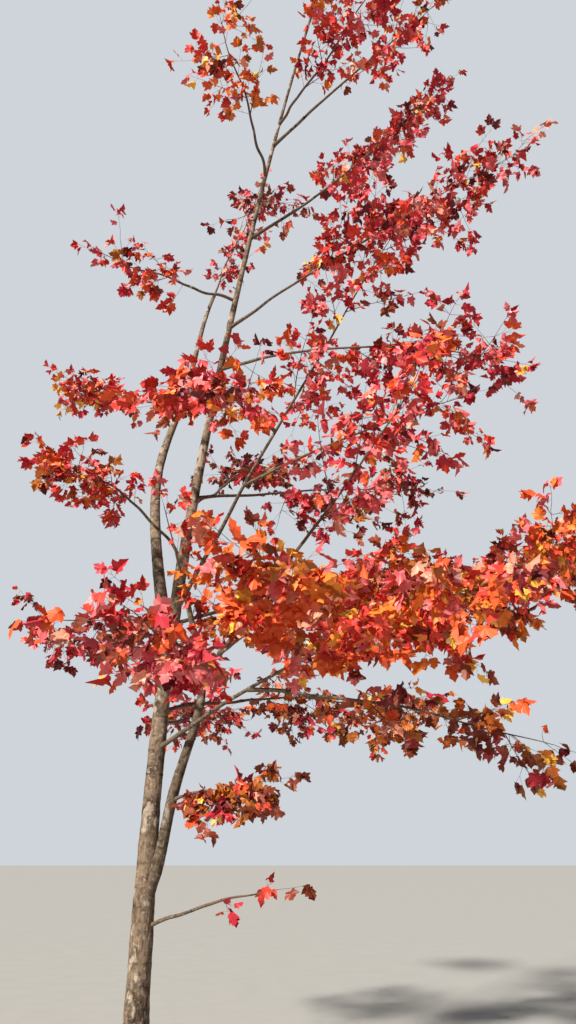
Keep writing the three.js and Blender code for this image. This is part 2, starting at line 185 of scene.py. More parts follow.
# Each limb as the solids have it: how it leaves its parent and bends, where it is bare, and how
# far its mass of leaves reaches. How full the mass is, and a mix of tints that isn't named after
# its tint, are the scene's own. The maroon and shaded mixes and the maroon tint paint shade on
# masses at the back and low down.
LIMBS = [
    dict(name="trunk", azimuth=-38, rise=90, length=10200, lift=-25, turn=0, bare=0.85, flared=True,
         sway=2, foot=88, tip=10, taper=1.7, rings=18, crowding=1.6, reach=520, tint="scarlet",
         fullness=0.7),
    dict(name="right_stem", parent="trunk", at=0.136, azimuth=-41, rise=60, length=2800, lift=60,
         turn=102, bare=0.78, sway=12, foot=44, tip=19, rings=12, reach=460, tint="scarlet",
         fullness=0.6),
    dict(name="left_stem", parent="trunk", at=0.33, azimuth=132, rise=68, length=5900, lift=4.4,
         turn=-132, bare=0.73, sway=5, foot=50, tip=17, rings=12, reach=600, tint="crimson",
         fullness=0.28),
    dict(name="foot_bough", parent="trunk", at=0.118, azimuth=-29, rise=20, length=1000, lift=-13,
         turn=8, bare=0.5, reach=240, tint="maroon", fullness=0.4),
    dict(name="under_bough", parent="right_stem", at=0.3, azimuth=-48, rise=14, length=800,
         lift=-35, turn=5, bare=0.3, reach=470, tint="orange", mix="shaded", fullness=1.4),
    dict(name="low_right_bough", parent="trunk", at=0.248, azimuth=-49, rise=18, length=3100,
         lift=-20, turn=-10, bare=0.42, reach=600, tint="orange", fullness=1.0),
    dict(name="low_hanging_bough", parent="low_right_bough", at=0.82, azimuth=-26, rise=-8,
         length=1850, lift=-12, turn=4, bare=0.35, reach=480, tint="maroon", mix="shaded",
         fullness=0.55),
    dict(name="low_left_bough", parent="trunk", at=0.296, azimuth=-61, rise=-9, length=2700,
         lift=11, turn=-54, bare=0.45, reach=560, tint="crimson", fullness=0.75),
    dict(name="low_front_bough", parent="right_stem", at=0.72, azimuth=-76, rise=-6, length=2600,
         lift=5, turn=-5, bare=0.38, reach=600, tint="scarlet", mix="orange", fullness=1.3),
    dict(name="near_bough", parent="low_front_bough", at=0.8, azimuth=-58, rise=26, length=2150,
         lift=24, turn=26, bare=0.45, reach=600, tint="crimson", fullness=0.5),
    dict(name="mid_right_bough", parent="right_stem", at=0.86, azimuth=-28, rise=-3, length=2700,
         lift=9, turn=-7, bare=0.32, reach=620, tint="orange", fullness=1.3),
    dict(name="far_right_bough", parent="trunk", at=0.35, azimuth=8, rise=17.2, length=3300,
         lift=-18, turn=-7, bare=0.28, reach=620, tint="scarlet", fullness=1.2),
    dict(name="low_back_right_bough", parent="trunk", at=0.278, azimuth=48, rise=14, length=2950,
         lift=-20, turn=-14, bare=0.33, reach=640, tint="orange", mix="shaded", fullness=0.6),
    dict(name="low_back_bough", parent="trunk", at=0.262, azimuth=82, rise=17, length=2600,
         lift=-15, turn=8, bare=0.33, reach=640, tint="scarlet", mix="maroon", fullness=0.45),
    dict(name="low_back_left_bough", parent="trunk", at=0.305, azimuth=134, rise=26, length=1750,
         lift=-12, turn=3, bare=0.33, reach=600, tint="crimson", mix="maroon", fullness=0.5),
    dict(name="mid_left_bough", parent="trunk", at=0.402, azimuth=-168, rise=62, length=1350,
         lift=-78, turn=45, bare=0.42, reach=520, tint="scarlet", fullness=1.1),
    dict(name="mid_back_bough", parent="trunk", at=0.452, azimuth=72, rise=36, length=2300, lift=-9,
         turn=-4, bare=0.33, reach=600, tint="maroon", fullness=0.5),
    dict(name="long_bough", parent="right_stem", at=0.97, azimuth=-39, rise=52, length=3000,
         lift=-7, turn=-3, bare=0.48, reach=620, tint="crimson", fullness=0.6),
    dict(name="middle_bough", parent="long_bough", at=0.62, azimuth=-27, rise=17, length=1650,
         lift=-5, turn=14, bare=0.3, reach=540, tint="crimson", fullness=0.6),
    dict(name="mid_front_bough", parent="long_bough", at=0.93, azimuth=-131, rise=5, length=1600,
         lift=-50, turn=50, bare=0.2, reach=540, tint="orange", mix="scarlet", fullness=0.6),
    dict(name="back_right_bough", parent="trunk", at=0.462, azimuth=41, rise=18, length=2650,
         lift=-2, turn=-4, bare=0.33, reach=660, tint="scarlet", mix="maroon", fullness=0.5),
    dict(name="upper_right_bough", parent="trunk", at=0.585, azimuth=-32, rise=-1, length=2250,
         lift=-24, turn=13, bare=0.3, reach=600, tint="crimson", fullness=0.75),
    dict(name="upper_left_bough", parent="trunk", at=0.655, azimuth=-165, rise=5, length=1100,
         lift=2, turn=10, bare=0.35, reach=430, tint="scarlet", fullness=0.6),
    dict(name="left_back_bough", parent="left_stem", at=0.65, azimuth=146, rise=5, length=1650,
         lift=30, turn=0, bare=0.33, reach=520, tint="scarlet", fullness=0.95),
    dict(name="high_right_bough", parent="trunk", at=0.627, azimuth=-30, rise=21, length=2550,
         lift=10, turn=26, bare=0.26, reach=620, tint="crimson", fullness=0.8),
    dict(name="high_back_bough", parent="trunk", at=0.74, azimuth=84, rise=50, length=2150, lift=-7,
         turn=3, bare=0.33, reach=600, tint="maroon", fullness=0.2),
    dict(name="high_back_right_bough", parent="trunk", at=0.721, azimuth=7, rise=40, length=2850,
         lift=20, turn=12, bare=0.3, reach=620, tint="scarlet", mix="crimson", fullness=0.55),
    dict(name="high_left_bough", parent="trunk", at=0.79, azimuth=-103, rise=12, length=1250,
         lift=48, turn=-22, bare=0.33, reach=560, tint="orange", fullness=0.6),
    dict(name="high_front_bough", parent="trunk", at=0.825, azimuth=-17, rise=42, length=2350,
         lift=12, turn=33, bare=0.32, reach=560, tint="scarlet", fullness=0.3),
    dict(name="top_right_bough", parent="trunk", at=0.85, azimuth=-62, rise=4, length=1500, lift=26,
         turn=19, bare=0.2, reach=500, tint="crimson", fullness=0.8),
]

# Leaf tints: colour, and the material slot of the record that it belongs to
TINTS = {
    "crimson": ((0.50, 0.030, 0.048), "crimson_leaves"),
    # Rose is partly the pale red of leaf undersides and partly a painted pinkish sheen.
    "rose": ((0.74, 0.15, 0.16), "crimson_leaves"),
    "scarlet": ((0.66, 0.052, 0.034), "scarlet_leaves"),
    "vermilion": ((0.76, 0.110, 0.030), "scarlet_leaves"),
    # Salmon is partly pale curled leaves and partly a painted highlight on them.
    "salmon": ((0.80, 0.30, 0.20), "scarlet_leaves"),
    "orange": ((0.82, 0.220, 0.035), "orange_leaves"),
    "gold": ((0.88, 0.46, 0.06), "orange_leaves"),
    # Amber is painted light: the glow of shaded leaves lit through from behind.
    "amber": ((0.40, 0.115, 0.016), "orange_leaves"),
    # Maroon and russet are dark leaf colours that also paint shade in the crown.
    "maroon": ((0.15, 0.014, 0.018), "maroon_leaves"),
    "russet": ((0.27, 0.055, 0.026), "maroon_leaves"),
}

# How a mass deals out tints to its sprays, by its own tint or by the mix that its row names.
# The maroon and shaded mixes, heavy in dark tints, paint shade on masses at the back and low down.
MIXES = {
    "crimson": dict(crimson=0.28, rose=0.24, scarlet=0.19, vermilion=0.07, salmon=0.06, orange=0.03,
                    gold=0.01, maroon=0.07, russet=0.05),
    "scarlet": dict(scarlet=0.32, vermilion=0.17, crimson=0.17, rose=0.10, salmon=0.03, orange=0.07,
                    gold=0.02, amber=0.03, maroon=0.05, russet=0.04),
    "orange": dict(orange=0.18, vermilion=0.23, scarlet=0.22, gold=0.06, amber=0.06, salmon=0.06,
                   rose=0.09, russet=0.06, maroon=0.04),
    "maroon": dict(maroon=0.29, crimson=0.24, russet=0.20, scarlet=0.13, rose=0.04, vermilion=0.05,
                   amber=0.05),
    "shaded": dict(russet=0.30, amber=0.20, maroon=0.18, crimson=0.08, vermilion=0.10, orange=0.08,
                   salmon=0.03, gold=0.03),
}

# Thin twigs of a mass, in millimetres
STEM_STEPS = 16
STEM_SIDES = 7
STEM_SINK = 8.0
STEM_END_RADIUS = 1.8
STEM_THINNING = 0.9
TWIG_STEPS = 8
TWIG_SIDES = 5
TWIG_FOOT_RADIUS = 2.2
TWIG_FOOT_EXTRA = 2.6
TWIG_END_RADIUS = 1.5
TWIG_WANDER = 0.03
TWIG_SAG = (-0.05, 0.04)

# Shoots, the finest twigs, which carry the leaves. Angles are in degrees.
SHOOT_STEPS = 3
SHOOT_SIDES = 3
SHOOT_SPACING_ON_TWIG = 85.0
SHOOT_SPACING_ON_STEM = 95.0
SHOOT_LENGTH_ON_TWIG = (70.0, 190.0)
SHOOT_LENGTH_ON_STEM = (110.0, 260.0)
SHOOT_SHORTENING = 0.35
SHOOT_PLACE = (0.15, 0.85)
SHOOT_SPREAD = (38.0, 78.0)
SHOOT_LIFT = (-42.0, 42.0)
SHOOT_FOOT_RADIUS = 1.9
END_SHOOT_FOOT_RADIUS = 1.8
FAN_SHOOT_FOOT_RADIUS = 1.7
SHOOT_END_RADIUS = 0.9
SHOOT_BOW = 0.05
SHOOT_BOW_ASIDE = (-1.0, 1.0)
SHOOT_BOW_UP = (-0.6, 0.8)
SHOOT_TILT = 0.35
SHOOT_CLEARANCE = 40.0
LEAF_ROOM = 110.0
END_FAN_SHARE = 0.42
SIDE_FAN_SHARE = 0.62
FAN_LIFT = 0.6

# Leaves along a shoot and in the cluster at its end
NODE_SPACING = 52.0
NODE_FREE_SHARE = 0.25
NODE_PLACE = (0.2, 0.8)
NODE_ROLL = (-40.0, 40.0)
NODE_TURN = 45.0
NODE_SPREAD = (38.0, 72.0)
NODE_TINT_SHARE = 0.62
CLUSTER_SPREAD = (22.0, 42.0)
CLUSTER_WANDER = (-10.0, 10.0)
CLUSTER_LIFT = (-0.25, 0.25)
CLUSTER_TINT_SHARE = 0.75
CLUSTER_BONUS = 0.1
FALLEN_SHARE = 0.16
THINNEST = 0.4

# Leaves
STALK_LENGTH = (24.0, 60.0)
STALK_RADII = (1.0, 0.7)
STALK_OVERLAP = 4.0
BLADE_LENGTH = (54.0, 90.0)
BLADE_WIDTH = (0.82, 1.14)
BLADE_DROOP = (0.0, 1.7)
BLADE_WANDER = 0.35
BLADE_TILT = 0.55
BLADE_CURL = 0.38
BLADE_FOLD = (-1.0, 0.4)
BLADE_TWIST = 0.35
BLADE_RUFFLE = (0.05, 0.30)
RUFFLE_WAVES = 3

# What a leaf keeps clear of: its mass's space, the limbs and the box round the solids
SPACE_OVERLAP = 30.0
BLADE_CLEARANCE = 8.0
TIP_CLEARANCE = 4.0
BOX_MARGIN = 15.0

# Columns of a leaf's row of numbers. A slice holds the three parts of a place or a direction.
MASS, TINT = 0, 1
JOINT, KNEE, WAY, FACE = slice(2, 5), slice(5, 8), slice(8, 11), slice(11, 14)
LENGTH, WIDTH, CURL, FOLD, TWIST, RUFFLE, PHASE = range(14, 21)

DOWN = np.array((0.0, 0.0, -1.0))
UP = -DOWN
# A direction that no twig follows, to start the ring round it from
ODD_WAY = (0.31, -0.52, 0.8)

# Outline of half a leaf: across and along, in shares of the blade's length
HALF_LEAF = [
    (0.10, -0.05), (0.25, -0.03), (0.36, 0.08), (0.30, 0.18), (0.43, 0.28), (0.53, 0.51),
    (0.36, 0.50), (0.23, 0.53), (0.28, 0.70), (0.13, 0.83),
]
LEAF_HEART = (0.0, 0.3)
# Triangles of a leaf stalk between the corners at its foot, 0 to 2, and at its head, 3 to 5
STALK_TRIANGLES = [(0, 1, 4), (0, 4, 3), (1, 2, 5), (1, 5, 4), (2, 0, 3), (2, 3, 5), (3, 4, 5)]


def heading(azimuth, rise):
    around, above = math.radians(azimuth), math.radians(rise)
    level = math.cos(above)
    return np.array((level * math.cos(around), level * math.sin(around), math.sin(above)))


def unit(vectors):
    return vectors / np.maximum(np.linalg.norm(vectors, axis=-1, keepdims=True), 1e-9)


class SeededDraw:
    """The same seed always gives the same run of numbers between two limits."""

    def __init__(self, seed):
        self.state = seed

    def __call__(self, limits):
        self.state = (self.state * DRAW_STEP + DRAW_SHIFT) % DRAW_RANGE
        low, high = limits
        return low + ((high - low) * self.state) / DRAW_RANGE


class Course:
    """A limb, stem or twig: its sizes, and a middle line with one point for each ring."""

    parent = None
    flared = False
    crowding = 1.0
    lift = turn = sway = tip = 0.0
    taper = 1.0
    rings = 1

    def __init__(self, start, **sizes):
        self.__dict__.update(sizes)
        self.shares = (np.arange(self.rings + 1) / self.rings) ** self.crowding
        points = [np.asarray(start, float)]
        for low, high in zip(self.shares, self.shares[1:]):
            middle = high - (high - low) / 2
            points.append(points[-1] + self.heading_at(middle) * (high - low) * self.length)
        self.points = np.array(points)

    def bearing(self, share):
        wave = math.sin(2 * math.pi * SWAY_WAVES * share) * self.sway
        return self.azimuth + self.turn * share + 2 * wave, self.rise + self.lift * share + wave

    def heading_at(self, share):
        return heading(*self.bearing(share))

    def ring_of(self, share):
        return int(np.clip(np.searchsorted(self.shares, share), 1, self.rings))

    def point_on(self, share):
        ring = self.ring_of(share)
        low, high = self.shares[ring - 1], self.shares[ring]
        start, end = self.points[ring - 1], self.points[ring]
        return start + (end - start) * ((share - low) / (high - low))

    def radius_at(self, share):
        plain = self.tip + (self.foot - self.tip) * (1 - share) ** self.taper
        collar = COLLAR_SWELL * np.exp(-share * self.length / COLLAR_LENGTH) if self.parent else 0.0
        return plain * (1 + collar)

    def smooth_points(self, shares):
        """Places on a smooth line through the middle line's points."""
        places = []
        for share in shares:
            ring = self.ring_of(share)
            low, high = self.shares[ring - 1], self.shares[ring]
            t = (share - low) / (high - low)
            pull = (high - low) * self.length
            start, end = self.points[ring - 1], self.points[ring]
            out_of, into = self.heading_at(low) * pull, self.heading_at(high) * pull
            places.append(
                start * (2 * t**3 - 3 * t**2 + 1) + out_of * (t**3 - 2 * t**2 + t)
                + end * (3 * t**2 - 2 * t**3) + into * (t**3 - t**2)
            )
        return np.array(places)


def distances(places, starts, spans):
    """How far each place is from each straight part."""
    offsets = places[:, None, :] - starts
    along = np.clip((offsets * spans).sum(-1) / (spans**2).sum(-1), 0, 1)
    return np.linalg.norm(offsets - along[..., None] * spans, axis=-1)


class Room:
    """Where the stems of the masses and the limbs are, for the rule on each mass's space."""

    def __init__(self, limbs, sprays):
        self.flatten = np.array((1, 1, 1 / SPACE_FLATNESS))
        self.stem_starts = np.concatenate([spray.points[:-1] for spray in sprays]) * self.flatten
        spans = [np.diff(spray.points, axis=0) for spray in sprays]
        self.stem_spans = np.concatenate(spans) * self.flatten
        self.reach = np.array([spray.reach for spray in sprays], float)
        # The limbs have different numbers of rings, so short rows are filled with far places.
        most = max(limb.rings for limb in limbs)
        self.limb_starts = np.full((len(limbs), most, 3), FAR_AWAY)
        self.limb_spans = np.ones((len(limbs), most, 3))
        self.limb_radii = np.zeros((len(limbs), most))
        for index, limb in enumerate(limbs):
            self.limb_starts[index, :limb.rings] = limb.points[:-1]
            self.limb_spans[index, :limb.rings] = np.diff(limb.points, axis=0)
            self.limb_radii[index, :limb.rings] = limb.radius_at(limb.shares[:-1])

    def stem_distances(self, places):
        found = distances(places * self.flatten, self.stem_starts, self.stem_spans)
        return found.reshape(len(places), -1, STEM_RINGS).min(-1)

    def in_space(self, places, mass, gap=SPACE_GAP):
        """A mass owns what is within its reach and nearer to its own stem than to another's."""
        found = self.stem_distances(places)
        own = found[:, mass]
        clear = found > np.minimum(own[:, None], self.reach) + gap
        clear[:, mass] = True
        return (own < self.reach[mass]) & clear.all(1)

    def off_limbs(self, places, clearance=LIMB_CLEARANCE):
        starts, spans = self.limb_starts.reshape(-1, 3), self.limb_spans.reshape(-1, 3)
        found = distances(places, starts, spans).reshape(len(places), *self.limb_radii.shape)
        nearest = found.argmin(-1)[..., None]
        radii = np.take_along_axis(np.broadcast_to(self.limb_radii, found.shape), nearest, -1)
        return (np.take_along_axis(found, nearest, -1) > radii + clearance).all((1, 2))


class Fan:
    """Stands for a spray of leaves: a flat kite along a line, as large as a leaf of the solids."""

    def __init__(self, root, azimuth, rise, length, draw, share=1.0):
        self.root, self.length, self.share = root, length, share
        self.along = heading(azimuth, rise)
        tilt = math.radians(draw(FAN_TILT))
        level = np.cross(self.along, heading(azimuth + 90, 0))
        self.normal = level * math.cos(tilt) + np.cross(self.along, level) * math.sin(tilt)

    def places(self, checks):
        side = np.cross(self.normal, self.along)
        return (
            self.root
            + np.outer(checks[:, 0] * self.length, self.along)
            + np.outer(checks[:, 1] * self.length * FAN_WIDTH_SHARE / 2, side)
        )


def tip_fan(course, draw):
    azimuth, rise = course.bearing(1)
    length = FAN_LENGTH * draw(TIP_FAN_SIZE)
    root = course.point_on(1) - heading(azimuth, rise) * FAN_WIDEST_SHARE * length
    return Fan(root, azimuth, rise, length, draw)


def make_twig(spray, share, side, draw):
    """One twig of a pair, with a fan on its tip and one on each side of it."""
    azimuth, rise = spray.bearing(share)
    twig = Course(
        spray.point_on(share),
        azimuth=azimuth + side * draw(TWIG_SPREAD),
        rise=rise / 2 + draw(TWIG_LIFT),
        length=spray.reach * (1 - TWIG_SHORTENING * share) * draw(TWIG_LENGTH),
        foot=spray.radius_at(share) * TWIG_RADIUS_SHARE,
    )
    fans = [tip_fan(twig, draw)]
    for turn in (-1, 1):
        place = draw(SIDE_FAN_PLACE)
        azimuth_out = twig.azimuth + turn * draw(SIDE_FAN_SPREAD)
        rise_out = twig.rise - draw(SIDE_FAN_DROOP)
        length = FAN_LENGTH * draw(SIDE_FAN_SIZE)
        fans.append(Fan(twig.point_on(place), azimuth_out, rise_out, length, draw, place))
    return twig, fans


def clears_fans(places, fans):
    return all(
        np.linalg.norm(places[:, None] - fan.places(FAN_CHECKS), axis=-1).min() > FAN_SPACING
        for fan in fans
    )


def clears_twigs(places, twigs):
    return all(
        distances(places, twig.points[:-1], np.diff(twig.points, axis=0)).min() > TWIG_SPACING
        for twig in twigs
    )


def allowed(places, mass, room):
    return room.in_space(places, mass).all() and room.off_limbs(places).all()


def fan_fits(fan, mass, room, fans, twigs):
    places = fan.places(FAN_CHECKS)
    clear = clears_fans(places, fans) and clears_twigs(places, twigs)
    return clear and allowed(fan.places(FINE_CHECKS), mass, room)


def grow_twig(spray, share, side, room, draw):
    """A twig that leaves the space or touches something is tried another way, and then skipped."""
    for _ in range(TWIG_TRIES):
        twig, fans = make_twig(spray, share, side, draw)
        fitting = []
        for fan in fans:
            if fan_fits(fan, spray.mass, room, spray.fans + fitting, spray.twigs):
                fitting.append(fan)
        places = np.array([twig.point_on(part) for part in TWIG_CHECKS])
        if fans[0] not in fitting or not clears_fans(places, spray.fans):
            continue
        if allowed(places, spray.mass, room):
            spray.fans += fitting
            spray.twigs.append(twig)
            twig.share = share
            twig.fans = fitting
            return


def grow_spray(spray, room):
    draw = SeededDraw(spray.seed)
    spray.fans, spray.twigs = [tip_fan(spray, draw)], []
    pairs = round(spray.length / PAIR_SPACING)
    for pair in range(pairs):
        for side in (-1, 1):
            grow_twig(spray, (pair + draw(PAIR_PLACE)) / pairs, side, room, draw)


def grow_limb(row, parent):
    """A limb's bare part, which bends only as far as it reaches of the whole limb's course."""
    sizes = {**row, **{key: row[key] * row["bare"] for key in ("length", "lift", "turn")}}
    foot = TIP_RADIUS + sizes["length"] * BOUGH_SWELL
    defaults = dict(foot=foot, tip=TIP_RADIUS, sway=BOUGH_SWAY, rings=BOUGH_RINGS)
    start = parent.point_on(row["at"]) if parent else np.zeros(3)
    return Course(start, **{**defaults, **sizes})


def stem_of_mass(row, limb, mass):
    """The stem of a mass of leaves, which goes on from the end of its limb."""
    azimuth, rise = limb.bearing(1)
    leafy = 1 - row["bare"]
    return Course(
        limb.point_on(1) + limb.heading_at(1) * CUT_GAP,
        name=row["name"].replace("_bough", "") + "_leaves",
        azimuth=azimuth, rise=rise, length=row["length"] * leafy, lift=row["lift"] * leafy,
        turn=row["turn"] * leafy, sway=STEM_SWAY, foot=STEM_RADIUS, taper=STEM_TAPER,
        rings=STEM_RINGS, reach=row["reach"], mix=row.get("mix", row["tint"]),
        seed=SEED_STEP * (mass + 1), fullness=row["fullness"], mass=mass,
    )


@lru_cache(maxsize=1)
def skeleton():
    """The limbs and the masses of the solids, grown by the same rule from the same seeds."""
    limbs, sprays = {}, []
    for mass, row in enumerate(LIMBS):
        limb = limbs[row["name"]] = grow_limb(row, limbs.get(row.get("parent")))
        sprays.append(stem_of_mass(row, limb, mass))
    room = Room(list(limbs.values()), sprays)
    for spray in sprays:
        grow_spray(spray, room)
    return limbs, sprays, room


class Growth:
    """Collects the thin twigs and the leaves of the whole crown."""

    def __init__(self):
        self.runs = []
        self.leaves = []

    def add_run(self, points, radii, sides):
        self.runs.append((np.asarray(points), np.asarray(radii), sides))


def on_bow(start, end, bow, share):
    """A place on a line from start to end that bows sideways and sags or lifts between them."""
    return start + (end - start) * share + bow * (4 * share * (1 - share))


def bowed(start, end, bow, steps):
    return on_bow(start, end, bow, np.linspace(0, 1, steps + 1)[:, None])


def turned(degrees, first, second):
    """The direction that many degrees from the first direction toward the second."""
    angle = math.radians(degrees)
    return first * math.cos(angle) + second * math.sin(angle)


def add_leaf(growth, spray, joint, direction, flat, tint, rng):
    """A leaf on its stalk: the stalk springs from the joint, and the blade hangs over from it."""
    knee = joint + direction * rng.uniform(*STALK_LENGTH)
    hanging = direction + DOWN * rng.uniform(*BLADE_DROOP)
    blade_way = unit(hanging + rng.normal(0, BLADE_WANDER, 3))
    face = unit(flat + rng.normal(0, BLADE_TILT, 3))
    face = unit(face - blade_way * (face @ blade_way))
    growth.leaves.append((
        spray.mass, tint, *joint, *knee, *blade_way, *face,
        rng.uniform(*BLADE_LENGTH), rng.uniform(*BLADE_WIDTH), rng.normal(0, BLADE_CURL),
        rng.uniform(*BLADE_FOLD), rng.normal(0, BLADE_TWIST), rng.uniform(*BLADE_RUFFLE),
        rng.uniform(0, 2 * math.pi),
    ))


def pick_tint(spray, rng):
    mix = MIXES[spray.mix]
    shares = np.array(list(mix.values())) / sum(mix.values())
    return list(mix)[rng.choice(len(mix), p=shares)]


def add_shoot(growth, spray, start, way, length, flat, foot, tint, rng):
    """A fine twig with pairs of leaves along it, and a cluster at its end."""
    side = unit(np.cross(flat, way))
    bow_way = side * rng.uniform(*SHOOT_BOW_ASIDE) + flat * rng.uniform(*SHOOT_BOW_UP)
    bow = bow_way * length * SHOOT_BOW
    end = start + way * length
    radii = np.linspace(foot, SHOOT_END_RADIUS, SHOOT_STEPS + 1)
    growth.add_run(bowed(start, end, bow, SHOOT_STEPS), radii, SHOOT_SIDES)
    nodes = max(1, round(length * (1 - NODE_FREE_SHARE) / NODE_SPACING))
    kept_share = (1 - FALLEN_SHARE) * min(1.0, THINNEST + (1 - THINNEST) * spray.fullness)
    for node in range(nodes):
        place = NODE_FREE_SHARE + (1 - NODE_FREE_SHARE) * (node + rng.uniform(*NODE_PLACE)) / nodes
        joint = on_bow(start, end, bow, place)
        roll = rng.uniform(*NODE_ROLL) + (NODE_TURN if node % 2 else 0)
        across = turned(roll, side, flat)
        for turn in (-1, 1):
            if rng.uniform() > kept_share:
                continue
            direction = turned(rng.uniform(*NODE_SPREAD), way, turn * across)
            leaf_tint = tint if rng.uniform() < NODE_TINT_SHARE else pick_tint(spray, rng)
            add_leaf(growth, spray, joint, unit(direction), flat, leaf_tint, rng)
    for turn in (-1, 0, 1):
        if rng.uniform() > kept_share + CLUSTER_BONUS:
            continue
        spread = turn * rng.uniform(*CLUSTER_SPREAD) + rng.uniform(*CLUSTER_WANDER)
        direction = turned(spread, way, side) + flat * rng.uniform(*CLUSTER_LIFT)
        leaf_tint = tint if rng.uniform() < CLUSTER_TINT_SHARE else pick_tint(spray, rng)
        add_leaf(growth, spray, end, unit(direction), flat, leaf_tint, rng)


def lean(rng):
    """Which way a shoot's leaves face: up, leaning a little."""
    return unit(UP + rng.normal(0, SHOOT_TILT, 3))


def add_side_shoots(growth, spray, points, bearing, spacing, lengths, room, rng):
    """Shoots in opposite pairs along a twig or stem, where the mass's space lets them grow."""
    azimuth, rise = bearing
    whole_length = np.linalg.norm(np.diff(points, axis=0), axis=1).sum()
    count = max(1, round(whole_length / spacing * spray.fullness))
    for index in range(count):
        share = (index + rng.uniform(*SHOOT_PLACE)) / count
        steps = share * (len(points) - 1)
        ring = min(int(steps), len(points) - 2)
        place = points[ring] + (points[ring + 1] - points[ring]) * (steps - ring)
        for turn in (-1, 1):
            azimuth_out = azimuth + turn * rng.uniform(*SHOOT_SPREAD)
            way = heading(azimuth_out, rise / 2 + rng.uniform(*SHOOT_LIFT))
            length = rng.uniform(*lengths) * (1 - SHOOT_SHORTENING * share)
            checks = place + np.outer((length * 0.5, length, length + LEAF_ROOM), way)
            if not room.in_space(checks, spray.mass, 0.0).all():
                continue
            if room.off_limbs(checks, SHOOT_CLEARANCE).all():
                tint = pick_tint(spray, rng)
                flat = lean(rng)
                add_shoot(growth, spray, place, way, length, flat, SHOOT_FOOT_RADIUS, tint, rng)


def grow_on_stem(growth, spray, room, rng):
    """The stem of a mass, with the shoot at its end and the shoots along it."""
    shares = np.linspace(0, 1, STEM_STEPS + 1)
    points = spray.smooth_points(shares)
    points[0] = spray.point_on(0) - spray.heading_at(0) * STEM_SINK
    thinning = (TIP_RADIUS - STEM_END_RADIUS) * (1 - shares) ** STEM_THINNING
    growth.add_run(points, STEM_END_RADIUS + thinning, STEM_SIDES)
    tip = spray.fans[0]
    flat = lean(rng)
    tint = pick_tint(spray, rng)
    add_shoot(growth, spray, points[-1], tip.along, tip.length * END_FAN_SHARE, flat,
              END_SHOOT_FOOT_RADIUS, tint, rng)
    add_side_shoots(growth, spray, points, spray.bearing(0.5), SHOOT_SPACING_ON_STEM,
                    SHOOT_LENGTH_ON_STEM, room, rng)


def grow_on_twig(growth, spray, twig, room, rng):
    """A twig of a mass, with the shoots along it and one for each of its fans."""
    start, end = twig.points[0], twig.point_on(1)
    bow = rng.normal(0, TWIG_WANDER, 3) * twig.length + UP * twig.length * rng.uniform(*TWIG_SAG)
    points = bowed(start, end, bow, TWIG_STEPS)
    foot = TWIG_FOOT_RADIUS + TWIG_FOOT_EXTRA * (1 - twig.share)
    growth.add_run(points, np.linspace(foot, TWIG_END_RADIUS, TWIG_STEPS + 1), TWIG_SIDES)
    add_side_shoots(growth, spray, points, twig.bearing(0), SHOOT_SPACING_ON_TWIG,
                    SHOOT_LENGTH_ON_TWIG, room, rng)
    for fan in twig.fans:
        flat = unit(fan.normal * np.sign(fan.normal[2]) + UP * FAN_LIFT)
        length = fan.length * (END_FAN_SHARE if fan.share == 1.0 else SIDE_FAN_SHARE)
        add_shoot(growth, spray, on_bow(start, end, bow, fan.share), fan.along, length, flat,
                  FAN_SHOOT_FOOT_RADIUS, pick_tint(spray, rng), rng)


@lru_cache(maxsize=1)
def foliage():
    """Every thin twig of the crown, and its leaves by tint."""
    _, sprays, room = skeleton()
    growth = Growth()
    for spray in sprays:
        rng = np.random.default_rng(spray.seed)
        grow_on_stem(growth, spray, room, rng)
        for twig in spray.twigs:
            grow_on_twig(growth, spray, twig, room, rng)
    return growth.runs, keep_leaves(growth.leaves, sprays, room)


def keep_leaves(leaves, sprays, room):
    """Leaves as rows of numbers by tint, without those that leave their mass's space or the box."""
    names = list(TINTS)
    rows = np.array([(mass, names.index(tint), *sizes) for mass, tint, *sizes in leaves])
    knee, reach = rows[:, KNEE], rows[:, WAY] * rows[:, [LENGTH]]
    middle, tip = knee + reach / 2, knee + reach
    low, high = (np.array(corner) / METRES for corner in CAD_BOX)
    keep = ((tip > low - BOX_MARGIN) & (tip < high + BOX_MARGIN)).all(1)
    keep &= ((knee > low) & (knee < high)).all(1)
    for spray in sprays:
        chosen = np.flatnonzero((rows[:, MASS] == spray.mass) & keep)
        fine = room.in_space(middle[chosen], spray.mass, -SPACE_OVERLAP)
        fine &= room.off_limbs(middle[chosen], BLADE_CLEARANCE)
        fine &= room.off_limbs(tip[chosen], TIP_CLEARANCE)
        keep[chosen[~fine]] = False
    return {name: rows[keep & (rows[:, TINT] == index)] for index, name in enumerate(names)}


# Meshes
def add_piece(name, vertices, triangles, material, slot, nodes, attributes=(), smooth=True):
    """A mesh object from arrays that rides on the tree, stands for its nodes and has a finish."""
    mesh = bpy.data.meshes.new(name)
    vertices = np.asarray(vertices, np.float32)
    triangles = np.asarray(triangles, np.int32)
    mesh.vertices.add(len(vertices))
    mesh.vertices.foreach_set("co", vertices.ravel())
    mesh.loops.add(triangles.size)
    mesh.loops.foreach_set("vertex_index", triangles.ravel())
    mesh.polygons.add(len(triangles))
    mesh.polygons.foreach_set("loop_start", np.arange(0, triangles.size, 3, dtype=np.int32))
    mesh.polygons.foreach_set("use_smooth", np.full(len(triangles), smooth))
    mesh.update(calc_edges=True)
    for key, kind, values in attributes:
        layer = mesh.attributes.new(key, kind, "POINT")
        field = "vector" if kind == "FLOAT_VECTOR" else "value"
        layer.data.foreach_set(field, np.asarray(values, np.float32).ravel())
    mesh.validate()
    piece = bpy.data.objects.new(name, mesh)
    bpy.context.scene.collection.objects.link(piece)
    mesh.materials.append(material)
    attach(piece, "root")
    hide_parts(*nodes)
    return piece


